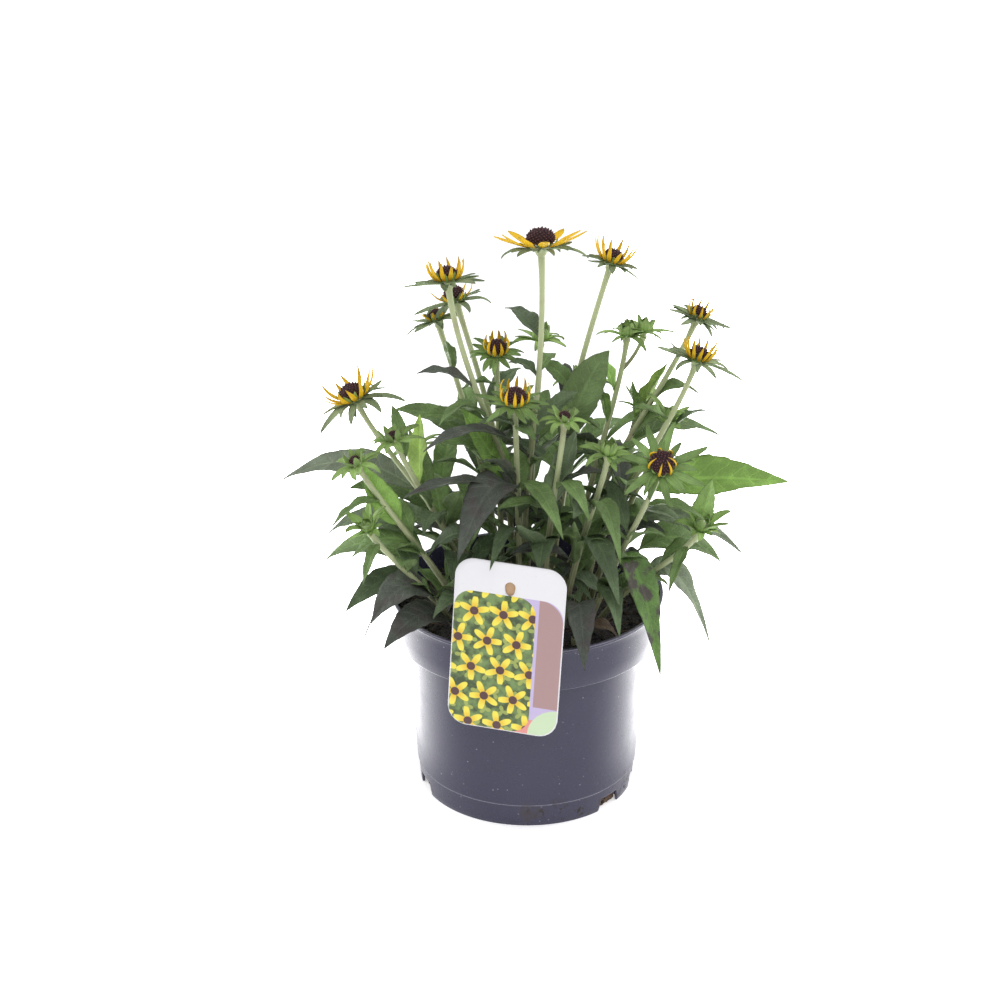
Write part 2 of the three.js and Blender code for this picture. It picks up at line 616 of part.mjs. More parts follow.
// Soil: fills the pot, uneven on top, with a plain hole for each foot and for the label's stake.
function soilSolid(feet) {
  const profile = [
    [0, POT_FLOOR_Z + POT_WALL + FIT_GAP],
    [POT_BASE_RADIUS - POT_WALL - FIT_GAP, POT_FLOOR_Z + POT_WALL + FIT_GAP],
    [POT_SHOULDER_RADIUS - POT_WALL - FIT_GAP, POT_SHOULDER_Z + POT_WALL + FIT_GAP],
    [POT_COLLAR_RADIUS - POT_WALL - FIT_GAP, POT_COLLAR_BOTTOM + POT_WALL + FIT_GAP],
    [POT_COLLAR_RADIUS - POT_WALL + 0.6, SOIL_Z - 2],
    [60, SOIL_Z - 0.3],
    [30, SOIL_Z + 0.4],
    [0, SOIL_Z + 1],
  ];
  const ground = turned(profile, SOIL_SIDES);
  const points = ground.getAttribute('position');
  const rows = profile.length;
  for (let i = 0; i < points.count; i += 1) {
    const row = i % rows;
    const column = Math.floor(i / rows) % SOIL_SIDES;
    if (row > 3 && row < rows - 1) {
      points.setZ(i, points.getZ(i) + SOIL_ROUGHNESS * (2 * chance(row * 41 + column) - 1));
    }
  }
  let soil = solidFrom(ground);
  feet.forEach(({ from, to }) => {
    soil = soil.subtract(tubeAlong(new THREE.LineCurve3(from, to), HOLE_RADIUS, 1));
  });
  const slit = new THREE.BoxGeometry(STAKE_WIDTH + 2, STAKE_THICKNESS + 1, SLIT_HEIGHT);
  slit.rotateZ(radians(CARD_FACING));
  slit.translate(CARD_CENTRE[0], STAKE_Y, FOOT_Z - 1 + SLIT_HEIGHT / 2);
  return soil.subtract(solidFrom(slit));
}

// Places what was drawn in the card's own plane: turned in the plane, stood up, leaned back,
// and faced a little to the left.
function placeOnCard(geometry) {
  geometry.rotateZ(radians(CARD_TURN));
  geometry.rotateX(Math.PI / 2);
  geometry.rotateX(radians(-CARD_LEAN));
  geometry.rotateZ(radians(CARD_FACING));
  return geometry.translate(CARD_CENTRE[0], CARD_BACK_Y, CARD_CENTRE[1]);
}

// Plant label: a card that stands outside the rim, and a stake inside it whose hook holds the card.
function labelSolid() {
  const w = CARD_WIDTH / 2;
  const h = CARD_HEIGHT / 2;
  const r = CARD_CORNER;
  const outline = new THREE.Shape();
  outline.moveTo(-w + r, -h);
  outline.lineTo(w - r, -h);
  outline.absarc(w - r, -h + r, r, -Math.PI / 2, 0, false);
  outline.lineTo(w, h - r);
  outline.absarc(w - r, h - r, r, 0, Math.PI / 2, false);
  outline.lineTo(-w + r, h);
  outline.absarc(-w + r, h - r, r, Math.PI / 2, Math.PI, false);
  outline.lineTo(-w, -h + r);
  outline.absarc(-w + r, -h + r, r, Math.PI, 1.5 * Math.PI, false);
  const punch = new THREE.Path();
  punch.absarc(0, h - PUNCH_BELOW_TOP, PUNCH_RADIUS, 0, 2 * Math.PI, true);
  outline.holes.push(punch);
  const settings = { depth: CARD_THICKNESS, curveSegments: 4, bevelEnabled: false };
  const card = placeOnCard(new THREE.ExtrudeGeometry(outline, settings));
  const hook = new THREE.BoxGeometry(HOOK_WIDTH, HOOK_HEIGHT, HOOK_DEPTH);
  const hookTop = h - PUNCH_BELOW_TOP - PUNCH_RADIUS - 1;
  hook.translate(0, hookTop - HOOK_HEIGHT / 2, CARD_THICKNESS / 2 - HOOK_DEPTH / 2);
  const stakeLength = STAKE_TOP_Z - FOOT_Z;
  const stake = new THREE.BoxGeometry(STAKE_WIDTH, STAKE_THICKNESS, stakeLength);
  stake.rotateZ(radians(CARD_FACING));
  stake.translate(CARD_CENTRE[0], STAKE_Y, FOOT_Z + stakeLength / 2);
  return solidFrom(card).add(solidFrom(placeOnCard(hook))).add(solidFrom(stake));
}

// The hole that a stem or crown stands in: a little below its foot and out past the soil's top.
function holeFor(foot, direction) {
  const from = foot.clone().addScaledVector(direction, -HOLE_BELOW_FOOT);
  const to = foot.clone().addScaledVector(direction, HOLE_ABOVE_FOOT);
  return { from, to };
}

// A point below a head on its axis.
function belowHead(head, frame, distance) {
  return head.clone().addScaledVector(frame.axis, -distance);
}

const holes = [];

STEMS.forEach((stem, order) => {
  const seed = order + 1;
  const foot = new THREE.Vector3(stem.foot[0], stem.foot[1], FOOT_Z);
  const rise = new THREE.Vector3(...stem.rise);
  const head = new THREE.Vector3(...stem.head);
  const frame = headFrame(stem.lean);
  const neck = belowHead(head, frame, stem.neck);
  const path = new THREE.CubicBezierCurve3(foot, rise, neck, belowHead(head, frame, 1));
  const pieces = [tubeAlong(path, STEM_RADIUS, STEM_STEPS)];
  holes.push(holeFor(foot, path.getPoint(0.09).sub(foot).normalize()));
  stem.leaves.forEach(([place, x, y, z, halfWidth, arch, roll]) => {
    const tip = new THREE.Vector3(x, y, z);
    pieces.push(leafSolid(path.getPoint(place), tip, halfWidth, arch, roll, LEAF_STALK));
  });
  (stem.shoots || []).forEach(([place, x, y, z, leanX, leanY], shoot) => {
    const start = path.getPoint(place);
    const end = new THREE.Vector3(x, y, z);
    const sideFrame = headFrame([leanX, leanY]);
    const bend = belowHead(end, sideFrame, 0.5 * start.distanceTo(end));
    const branch = new THREE.QuadraticBezierCurve3(start, bend, belowHead(end, sideFrame, 1));
    pieces.push(tubeAlong(branch, SHOOT_RADIUS, SHOOT_STEPS));
    pieces.push(greenHead(end, sideFrame, 'bud', SHOOT_DISC, stem.spread, seed + 30 + shoot));
  });
  pieces.push(greenHead(head, frame, stem.kind, stem.disc, stem.spread, seed));
  addNode(`${stem.name}_stem_and_leaves`, joined(pieces), COLOURS.green, 0.75);
  if (stem.kind === 'eyed') {
    addNode(`${stem.name}_disc`, discHead(head, frame, stem.disc, FIT_GAP), COLOURS.brown, 0.8);
  }
  if (RAYS[stem.kind]) {
    const rays = yellowHead(head, frame, stem.disc, RAYS[stem.kind], seed);
    addNode(`${stem.name}_rays`, rays, COLOURS.yellow, 0.6);
    const base = 2 * FIT_GAP + PLATE_DEPTH;
    addNode(`${stem.name}_disc`, discHead(head, frame, stem.disc, base), COLOURS.brown, 0.8);
  }
});

ROSETTES.forEach((rosette, order) => {
  const foot = new THREE.Vector3(rosette.foot[0], rosette.foot[1], FOOT_Z);
  const crown = new THREE.Vector3(rosette.foot[0], rosette.foot[1], SOIL_Z + CROWN_HEIGHT);
  const root = crown.clone().addScaledVector(UP, -1);
  const pieces = [tubeAlong(new THREE.LineCurve3(foot, crown), CROWN_RADIUS, 1)];
  holes.push(holeFor(foot, UP));
  rosette.leaves.forEach(([x, y, z, halfWidth, arch, roll]) => {
    const tip = new THREE.Vector3(x, y, z);
    pieces.push(leafSolid(root, tip, halfWidth, arch, roll, GROUND_LEAF_STALK));
  });
  addNode(`ground_leaves_${order + 1}`, joined(pieces), COLOURS.ground, 0.75);
});

addNode('pot', potSolid(), COLOURS.pot, 0.35);
addNode('soil', soilSolid(holes), COLOURS.soil, 0.95);
addNode('plant_label', labelSolid(), COLOURS.label, 0.4);

export default plant;
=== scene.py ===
# %% [markdown]
# A rudbeckia in its nursery pot
#
# The plant has eleven blooms, twelve stems that end in buds or leafy tips, lower leaves, potting
# soil, a moulded pot and a plant label. The frame holds a plain solid of each, at its real size.
# Every solid is replaced here by finer pieces that follow the same curves, so this script works
# each stem, leaf and petal out again from a few chosen numbers, in millimetres.

import json
import math

import bpy
import numpy as np
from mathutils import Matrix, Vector

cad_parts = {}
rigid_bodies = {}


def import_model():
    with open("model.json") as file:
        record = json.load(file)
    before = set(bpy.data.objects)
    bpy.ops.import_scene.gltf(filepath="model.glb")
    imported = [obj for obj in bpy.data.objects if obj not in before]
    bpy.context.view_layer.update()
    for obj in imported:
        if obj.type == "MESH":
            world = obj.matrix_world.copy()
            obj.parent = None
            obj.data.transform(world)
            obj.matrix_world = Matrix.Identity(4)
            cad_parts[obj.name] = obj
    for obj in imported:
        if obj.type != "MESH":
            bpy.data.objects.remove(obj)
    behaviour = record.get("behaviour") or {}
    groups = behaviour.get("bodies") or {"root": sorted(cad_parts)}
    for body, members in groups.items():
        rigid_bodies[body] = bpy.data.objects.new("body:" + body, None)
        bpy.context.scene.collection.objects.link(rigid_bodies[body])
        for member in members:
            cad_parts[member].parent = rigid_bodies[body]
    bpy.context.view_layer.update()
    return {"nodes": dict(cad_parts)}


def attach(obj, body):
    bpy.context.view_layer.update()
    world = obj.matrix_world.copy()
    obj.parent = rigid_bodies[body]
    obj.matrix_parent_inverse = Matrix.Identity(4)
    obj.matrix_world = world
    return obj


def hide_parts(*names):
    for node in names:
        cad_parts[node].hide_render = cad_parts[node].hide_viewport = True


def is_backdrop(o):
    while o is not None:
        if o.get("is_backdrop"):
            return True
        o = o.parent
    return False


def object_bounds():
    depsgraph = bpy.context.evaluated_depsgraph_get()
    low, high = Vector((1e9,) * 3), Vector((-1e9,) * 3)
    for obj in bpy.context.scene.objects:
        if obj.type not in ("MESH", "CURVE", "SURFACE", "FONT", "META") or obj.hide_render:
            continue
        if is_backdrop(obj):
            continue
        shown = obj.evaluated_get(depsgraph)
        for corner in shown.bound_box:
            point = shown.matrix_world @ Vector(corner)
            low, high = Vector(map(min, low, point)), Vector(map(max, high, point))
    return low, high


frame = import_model()
MM = 0.001
print("nodes in the frame:", len(frame["nodes"]))

# %% [markdown]
# The camera
#
# A long lens from 1.6 m away, looking down by about 25 degrees, shows the top of the soil and
# keeps the pot's sides nearly upright. The camera comes early, because the light is set round it.

# %% Camera
AIM = Vector((-17, 0, 192)) * MM
DISTANCE = 1600 * MM
ELEVATION = math.radians(24.8)

camera_data = bpy.data.cameras.new("camera")
camera_data.sensor_width = 36
camera_data.lens = 93.6
camera = bpy.data.objects.new("camera", camera_data)
back = Vector((0, -math.cos(ELEVATION), math.sin(ELEVATION)))
camera.location = AIM + DISTANCE * back
camera.rotation_euler = back.to_track_quat("Z", "Y").to_euler()
bpy.context.scene.collection.objects.link(camera)
bpy.context.scene.camera = camera
bpy.context.scene.view_settings.view_transform = "Standard"
print("camera at", [round(x, 3) for x in camera.location])

# %% [markdown]
# Skins
#
# A stem, a leaf, a petal, a floret and a hair are all the same kind of shape: a stack of rings
# along a line, closed at both ends. One function makes the skin of any number of them at once
# from a single array of ring points, so hundreds of hairs cost no more code than one stem.

# %% Skins from rings of points
VALUES = ("across", "along", "under", "vein", "patch")


def turned_outwards(points, faces):
    """The faces, reversed where the volume they enclose is negative: the sum over triangles of
    corner a times (corner b cross corner c), divided by six."""
    a, b, c = points[faces[:, 0]], points[faces[:, 1]], points[faces[:, 2]]
    if np.einsum("ij,ij->", a, np.cross(b, c)) < 0:
        return faces[:, ::-1]
    return faces


def triangles_of(quads):
    """Each quad a, b, c, d as the triangles a, b, c and a, c, d."""
    return np.concatenate([quads[:, [0, 1, 2]], quads[:, [0, 2, 3]]])


def skins(rings, tips=None, tone=(0, 0, 0), finish=0, **values):
    """Closed skins over stacks of rings, an array of stacks x rings x corners x 3. Neighbouring
    rings are joined by quads, and a fan of triangles closes each end at the ring's mean point,
    or at tips. Values are spread over the ring points, and the end points take their ring's mean."""
    stacks, levels, corners = rings.shape[:3]
    tips = rings[:, -1].mean(1) if tips is None else tips
    points = np.concatenate([rings.reshape(stacks, -1, 3), rings[:, :1].mean(2), tips[:, None]], 1)
    level, corner = np.meshgrid(np.arange(levels - 1), np.arange(corners), indexing="ij")
    a = level * corners + corner
    b = level * corners + (corner + 1) % corners
    quads = np.stack([a, b, b + corners, a + corners], -1).reshape(-1, 4)
    k = np.arange(corners)
    after = (k + 1) % corners
    last = (levels - 1) * corners
    first_fan = np.stack([np.full(corners, levels * corners), after, k], -1)
    last_fan = np.stack([np.full(corners, levels * corners + 1), last + k, last + after], -1)
    fans = np.concatenate([first_fan, last_fan])
    faces = turned_outwards(points[0], np.concatenate([triangles_of(quads), fans]))
    shift = np.arange(stacks)[:, None, None] * points.shape[1]
    made = {"points": points.reshape(-1, 3), "faces": (faces + shift).reshape(-1, 3), "finish": finish}
    for name in VALUES:
        spread = np.broadcast_to(values.get(name, 0.0), (stacks, levels, corners))
        ends = [spread[:, :1].mean(2), spread[:, -1:].mean(2)]
        made[name] = np.concatenate([spread.reshape(stacks, -1), *ends], 1).ravel()
    spread = np.broadcast_to(tone, (stacks, levels, corners, 3))
    ends = [spread[:, :1].mean(2), spread[:, -1:].mean(2)]
    made["tone"] = np.concatenate([spread.reshape(stacks, -1, 3), *ends], 1).reshape(-1, 3)
    return made


def hoop(rings, **extra):
    """A closed skin over an array of rings x corners x 3 whose last ring meets its first again,
    as round the section of a pot's wall."""
    levels, corners = rings.shape[:2]
    level, corner = np.meshgrid(np.arange(levels), np.arange(corners), indexing="ij")
    a = level * corners + corner
    b = level * corners + (corner + 1) % corners
    c = (level + 1) % levels * corners + (corner + 1) % corners
    d = (level + 1) % levels * corners + corner
    points = rings.reshape(-1, 3)
    faces = turned_outwards(points, triangles_of(np.stack([a, b, c, d], -1).reshape(-1, 4)))
    made = {"points": points, "faces": faces, "finish": 0, "tone": np.zeros((len(points), 3))}
    made.update({name: np.zeros(len(points)) for name in VALUES})
    return {**made, **extra}


print("values carried by every point:", VALUES)

# %% [markdown]
# From shapes to a piece
#
# Each piece of the plant is one mesh made of many closed skins. Its points and faces are set
# from whole arrays, which is fast. Every point also carries a few values: how far across and
# along its shape it lies, whether it is on the underside, its vein and its tone. The finishes
# read these values, so a pattern always follows the shape that it belongs to.

# %% Put shapes in one mesh
PIECE_SIZES = {}


def make_piece(name, shapes, materials, replaced=()):
    """Joins shapes into one mesh at the origin, in metres, with smooth faces, the point values
    that its materials read, and one material for each finish. It rides on the root body."""
    counts = np.cumsum([0] + [len(s["points"]) for s in shapes])
    points = np.concatenate([s["points"] for s in shapes])
    faces = np.concatenate([s["faces"] + start for s, start in zip(shapes, counts)])
    finishes = np.concatenate([np.full(len(s["faces"]), s["finish"]) for s in shapes])
    mesh = bpy.data.meshes.new(name)
    mesh.vertices.add(len(points))
    mesh.vertices.foreach_set("co", (points * MM).ravel())
    mesh.loops.add(faces.size)
    mesh.loops.foreach_set("vertex_index", faces.ravel().astype(np.int32))
    mesh.polygons.add(len(faces))
    mesh.polygons.foreach_set("loop_start", np.arange(0, faces.size, 3, dtype=np.int32))
    mesh.polygons.foreach_set("material_index", finishes.astype(np.int32))
    mesh.polygons.foreach_set("use_smooth", np.ones(len(faces), bool))
    mesh.update(calc_edges=True)
    for value in VALUES:
        layer = mesh.attributes.new(value, "FLOAT", "POINT")
        layer.data.foreach_set("value", np.concatenate([s[value] for s in shapes]))
    tones = np.concatenate([s["tone"] for s in shapes])
    layer = mesh.attributes.new("tone", "FLOAT_COLOR", "POINT")
    layer.data.foreach_set("color", np.column_stack([tones, np.ones(len(tones))]).ravel())
    for material in materials:
        mesh.materials.append(material)
    piece = bpy.data.objects.new(name, mesh)
    bpy.context.scene.collection.objects.link(piece)
    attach(piece, "root")
    if replaced:
        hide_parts(*replaced)
    PIECE_SIZES[name] = len(faces)
    return piece


# %% [markdown]
# Chance
#
# No two petals are alike, but the plant has to come out the same each time. A sine of a large
# number, without its whole part, is a simple way to turn a whole number into a fixed draw.

# %% Small repeatable differences
def chance(number):
    """A number from 0 to 1 for each number: the fraction left of 43758.5453 sin(12.9898 n)."""
    value = np.sin(np.asarray(number, float) * 12.9898) * 43758.5453
    return value - np.floor(value)


def unit(v):
    """Each row of v divided by its own length."""
    v = np.asarray(v, float)
    return v / np.linalg.norm(v, axis=-1, keepdims=True)


def smooth(x, low, high):
    """0 below low, 1 above high, and 3 t squared less 2 t cubed between them."""
    t = np.clip((x - low) / (high - low), 0, 1)
    return t * t * (3 - 2 * t)


print("three draws:", np.round(chance([1, 2, 3]), 3))

# %% [markdown]
# Curves
#
# A stem rises from the soil, leans out and ends square to its bloom. A cubic curve with four
# control points does that. A leaf arches once, so three control points are enough for it.

# %% Stem and leaf curves
def cubic(a, b, c, d, s):
    """Points and unit directions at s on the cubic Bezier curve with those control points."""
    a, b, c, d = (np.asarray(p, float) for p in (a, b, c, d))
    s = np.asarray(s, float)[:, None]
    r = 1 - s
    place = r**3 * a + 3 * r**2 * s * b + 3 * r * s**2 * c + s**3 * d
    return place, unit(r**2 * (b - a) + 2 * r * s * (c - b) + s**2 * (d - c))


def quadratic(a, b, c, s):
    """Points and unit directions at s on the quadratic Bezier curve with those control points."""
    a, b, c = (np.asarray(p, float) for p in (a, b, c))
    s = np.asarray(s, float)[:, None]
    r = 1 - s
    return r**2 * a + 2 * r * s * b + s**2 * c, unit(r * (b - a) + s * (c - b))


def head_frame(lean):
    """Two directions across a head and its axis, which leans by lean for each unit of height."""
    axis = unit([lean[0], lean[1], 1.0])
    first = unit(np.cross([0, 1, 0], axis))
    return first, np.cross(axis, first), axis


print("a leaning head's axis:", np.round(head_frame((0.2, 0.1))[2], 3))

# %% [markdown]
# Stems
#
# A rudbeckia stem is round with fine ribs, a little thicker at its foot, and it swells where it
# meets the bloom. Its ribs are a small cosine on the radius.

# %% Stem surface
STEM_RADIUS = 1.8
STEM_RIBS = 7
RIB_HEIGHT = 0.05
STEM_CORNERS = 21
STEM_TONE = (0.42, 0.47, 0.25)
STEM_FOOT_TONE = (0.21, 0.22, 0.11)


def stem_skin(place, along, radius, low_tone=STEM_FOOT_TONE, high_tone=STEM_TONE):
    """A ribbed tube: at each point of the path, a circle of that radius times 1 plus a small
    cosine of seven times the angle, square to the path. Its tone runs from foot to head."""
    first = unit(np.cross([0, 1, 0], along))
    second = np.cross(along, first)
    angle = 2 * np.pi * np.arange(STEM_CORNERS) / STEM_CORNERS
    reach = radius[:, None] * (1 + RIB_HEIGHT * np.cos(STEM_RIBS * angle))
    ring = np.cos(angle)[:, None] * first[:, None] + np.sin(angle)[:, None] * second[:, None]
    rings = place[:, None] + reach[..., None] * ring
    s = np.linspace(0, 1, len(place))
    share = smooth(s, 0.2, 0.85)[:, None, None]
    tone = np.asarray(low_tone) * (1 - share) + np.asarray(high_tone) * share
    ribs = 0.5 + 0.5 * np.cos(STEM_RIBS * angle)
    return skins(rings[None], across=ribs, along=s[:, None], tone=tone, finish=1)


def base_skin(centre, directions, hub, top):
    """The green cup under a bloom: circles about the head's axis that widen from the stem's
    radius 9.5 mm below to the hub's radius, then close over it at height top."""
    heights = np.array([-9.5, -8, -6, -4, -2.6, -1.6, -0.8, -0.2, top * 0.8, top])
    cup = [2.0 + 0.2 * hub, 0.62 * hub, 0.86 * hub, hub, 0.97 * hub, 0.6 * hub]
    radii = np.array([1.6, 1.8, 2.0, *cup, 0.2])
    first, second, axis = directions
    angle = 2 * np.pi * np.arange(STEM_CORNERS) / STEM_CORNERS
    ring = np.cos(angle)[:, None] * first + np.sin(angle)[:, None] * second
    rings = centre + radii[:, None, None] * ring + heights[:, None, None] * axis
    return skins(rings[None], across=0.5, along=1.0, tone=STEM_TONE, finish=1)


print("stem corners:", STEM_CORNERS)

# %% [markdown]
# Leaves
#
# A leaf is a thin blade, folded a little along its midrib, with forward-pointing teeth and side
# veins that are sunk into it, so that it bulges between them. The blade's length and breadth are
# the two parameters of a surface, and its underside is the same surface moved down by the
# blade's thickness, which grows to a rib in the middle.

# %% Leaf surface
LEAF_RINGS = 46
LEAF_BREADTH = 11
SMALL_LEAF_BREADTH = 7
LEAF_TWIST = 26
LEAF_FOLD = math.tan(math.radians(13))
LEAF_THICKNESS = 0.4
RIB_THICKNESS = 0.9
LEAF_TEETH = 8
TOOTH_DEPTH = 0.09
LEAF_VEINS = 9
VEIN_SLANT = 1.1
VEIN_BULGE = 0.045
MIDRIB_GROOVE = 0.35
EDGE_WAVE = 0.9
EDGE_WAVES = 2.2
TONES = {
    "plum": ((0.072, 0.084, 0.066), 0.5),
    "deep": ((0.088, 0.130, 0.062), 0.1),
    "mid": ((0.130, 0.205, 0.068), 0.0),
    "bright": ((0.210, 0.360, 0.080), 0.0),
    "lime": ((0.240, 0.370, 0.070), 0.0),
    "grey": ((0.160, 0.200, 0.125), 0.1),
    "rusty": ((0.105, 0.190, 0.050), 0.9),
    "dry": ((0.110, 0.075, 0.050), 0.6),
}


def leaf_width(s, stalk):
    """Half width as a share of the greatest, where t is the share of the blade run since its
    stalk: the sine of pi times t to the power 0.85, to the power 0.8. It is then multiplied by
    1 less 0.4 times the fourth power of t, which draws the tip out to a point."""
    blade = np.clip((s - stalk) / (1 - stalk), 0, 1)
    return np.sin(np.pi * blade**0.85) ** 0.8 * (1 - 0.4 * blade**4)


def leaf_skin(root, tip, half_width, arch, roll, stalk, tone, seed, detail=1.0):
    """A leaf from root to tip. Its middle line arches up in an upright plane. Each cross section
    is a shallow V with a wave along its edges, sunk along the veins, and toothed by a sawtooth
    on its half width that rises towards the tip and drops behind each tooth. A detail below 1
    gives it fewer points and shallower teeth."""
    stations = int(round(LEAF_RINGS * detail))
    breadth = LEAF_BREADTH if detail > 0.8 else SMALL_LEAF_BREADTH
    root, tip = np.asarray(root, float), np.asarray(tip, float)
    s = np.linspace(0, 1, stations)
    middle = root + 0.45 * (tip - root) + np.array([0, 0, 2 * arch])
    place, along = quadratic(root, middle, tip, s)
    across = unit([tip[1] - root[1], root[0] - tip[0], 1e-9])
    flat_normal = np.cross(across, along)
    turn = np.radians(roll + LEAF_TWIST * (chance(seed + 0.11) - 0.5) * (2 * s - 0.6))[:, None]
    side = across * np.cos(turn) + flat_normal * np.sin(turn)
    normal = np.cross(side, along)
    length = np.linalg.norm(np.diff(place, axis=0), axis=1).sum()
    width = np.hypot(half_width * leaf_width(s, stalk), 0.9 * (1 - s))
    x = np.linspace(-1, 1, breadth)
    teeth = LEAF_TEETH * s[:, None] + np.where(x < 0, chance(seed + 0.23), chance(seed + 0.37))
    bite = (TOOTH_DEPTH * detail - 0.01) * smooth(s, stalk + 0.12, stalk + 0.3)
    bite = (bite * (1 - smooth(s, 0.86, 1.0)))[:, None]
    toothed = 1 - bite * (1 - (teeth - np.floor(teeth))) * np.abs(x) ** 3
    reach = width[:, None] * x * toothed
    wave = EDGE_WAVE * np.sin(2 * np.pi * EDGE_WAVES * s)[:, None] * width[:, None] / half_width
    ripple = 0.35 * np.sin(2 * np.pi * (3.4 * s[:, None] + chance(seed + np.sign(x)))) * np.abs(x) ** 3
    slant = s[:, None] * length - VEIN_SLANT * np.abs(reach)
    vein = slant * LEAF_VEINS / length
    bulge = 0.5 - 0.5 * np.cos(2 * np.pi * vein)
    quilt = VEIN_BULGE * half_width * bulge * 4 * np.abs(x) * (1 - np.abs(x)) * smooth(width, 1, 5)[:, None]
    groove = MIDRIB_GROOVE * np.exp(-((reach / 0.9) ** 2)) * smooth(width, 1, 4)[:, None]
    lift = np.abs(reach) * LEAF_FOLD * np.abs(x) ** 0.25 - wave * x + ripple * smooth(width, 1, 5)[:, None]
    lift = lift + quilt - groove
    rib = np.exp(-((reach / 1.0) ** 2)) * (1 - 0.75 * s[:, None])
    thick = LEAF_THICKNESS * (1 - 0.5 * np.abs(x) ** 4) + RIB_THICKNESS * rib
    flat = place[:, None] + side[:, None] * reach[..., None]
    top = flat + normal[:, None] * lift[..., None]
    under = top - normal[:, None] * thick[..., None]
    rings = np.concatenate([top, under[:, ::-1]], 1)
    colour, patch = TONES[tone]
    colour = np.asarray(colour) * (0.86 + 0.28 * chance(seed + 0.51))
    both = np.concatenate([x, x[::-1]])
    return skins(
        rings[None],
        across=both,
        along=s[:, None],
        under=np.repeat([0.0, 1.0], breadth),
        vein=np.concatenate([vein, vein[:, ::-1]], 1),
        patch=patch,
        tone=colour,
    )


print("leaf tones:", ", ".join(TONES))

# %% [markdown]
# Where hairs grow
#
# Stems and bracts are covered with short white hairs. Each stem or whorl notes where its hairs
# stand while it is made, and all the hairs are made together at the end.

# %% Roots of hairs
HAIR_ROOTS = []
STRAP_BREADTH = 7


def note_hairs(place, along, radius, count, length, seed):
    """Roots and directions of count hairs on a tube: a random place on the path, a random side
    of it, and a little lean towards the tip."""
    draws = np.random.default_rng(seed)
    index = draws.integers(0, len(place) - 1, count)
    part = draws.random(count)[:, None]
    at = place[index] * (1 - part) + place[index + 1] * part
    first = unit(np.cross([0, 1, 0], along[index]))
    second = np.cross(along[index], first)
    turn = draws.random(count)[:, None] * 2 * np.pi
    outward = np.cos(turn) * first + np.sin(turn) * second
    ways = unit(outward + along[index] * draws.uniform(-0.1, 0.5, (count, 1)))
    lengths = length * draws.uniform(0.6, 1.3, count)
    HAIR_ROOTS.append((at + outward * radius[index][:, None] * 0.95, ways, lengths))


def rim_hairs(rings, count, length, seed):
    """Roots and directions of count hairs along the two edges of a whorl of straps. They point
    away from the middle of the strap's upper side, and a little forwards."""
    draws = np.random.default_rng(seed)
    stack = draws.integers(0, rings.shape[0], count)
    level = draws.integers(1, rings.shape[1] - 1, count)
    edge = draws.integers(0, 2, count) * (STRAP_BREADTH - 1)
    middle = STRAP_BREADTH // 2
    root = rings[stack, level, edge]
    outward = root - rings[stack, level, middle]
    forward = rings[stack, level + 1, middle] - rings[stack, level, middle]
    ways = unit(outward + 0.3 * forward + draws.normal(0, 0.3, (count, 3)))
    HAIR_ROOTS.append((root, ways, length * draws.uniform(0.6, 1.3, count)))


print("hairs are noted while the stems grow, and made together afterwards")

# %% [markdown]
# Petals and bracts
#
# The yellow rays and the green bracts below them are straps that leave the head in every
# direction. Each is part of a circle in the upright plane at its bearing: it starts at one angle
# above the disc's plane and ends at another, so a closed bloom's rays simply end past upright.

# %% Straps round a head
def running(values):
    """The running integral of values over a length of 1, by the trapezium rule."""
    steps = np.concatenate([[0.0], 0.5 * (values[1:] + values[:-1])])
    return np.cumsum(steps) / (len(values) - 1)


def strap_rings(centre, directions, hub, bearing, length, half_width, angles, bends, outline, hollow):
    """Rings of one strap. The slope of its middle line turns evenly from the first angle to the
    last, and curls on with the cube of the length run. Its bearing drifts with the square, and
    it twists about itself evenly. Its half width follows outline, and the edges of its section
    are raised by hollow times the half width."""
    first, second, axis = directions
    curl, drift, twist = bends
    s = np.linspace(0, 1, len(outline))
    angle = np.radians(angles[0] + (angles[1] - angles[0]) * s + curl * s**3)
    radius = hub[0] + length * running(np.cos(angle))
    height = hub[1] + length * running(np.sin(angle))
    at = np.radians(bearing + drift * s**2)[:, None]
    outward = np.cos(at) * first + np.sin(at) * second
    place = centre + radius[:, None] * outward + height[:, None] * axis
    flat = np.cross(outward, axis)
    over = np.cos(angle)[:, None] * axis - np.sin(angle)[:, None] * outward
    turn = np.radians(twist * s)[:, None]
    side = flat * np.cos(turn) + over * np.sin(turn)
    normal = over * np.cos(turn) - flat * np.sin(turn)
    x = np.linspace(-1, 1, STRAP_BREADTH)
    reach = half_width * outline[:, None] * x
    lift = hollow * half_width * outline[:, None] * np.abs(x) ** 1.6
    lift = lift - 0.10 * half_width * np.cos(2.5 * np.pi * x) * smooth(np.abs(x), 0.0, 0.2)
    thick = np.broadcast_to(0.42 * (1 - 0.45 * x**2), reach.shape)
    top = place[:, None] + side[:, None] * reach[..., None] + normal[:, None] * lift[..., None]
    under = top - normal[:, None] * thick[..., None]
    return np.concatenate([top, under[:, ::-1]], 1)


S_STRAP = np.linspace(0, 1, 15)
BRACT_OUTLINE = np.sin(np.pi * (0.22 + 0.735 * S_STRAP)) ** 0.85
BRACT_OUTLINE[-1] = 0.05
RAY_OUTLINE = (0.62 + 0.38 * smooth(S_STRAP, 0, 0.35)) * np.maximum(1 - S_STRAP**2.4, 0.002) ** 0.9
LANCE_OUTLINE = (0.35 + 0.65 * smooth(S_STRAP, 0, 0.5)) * np.maximum(1 - S_STRAP**4, 0.002) ** 0.75
BEARING_CHANGE = 0.24
BEND_CHANGE = 24
SHORTEST = 0.82
LENGTH_CHANGE = 0.36


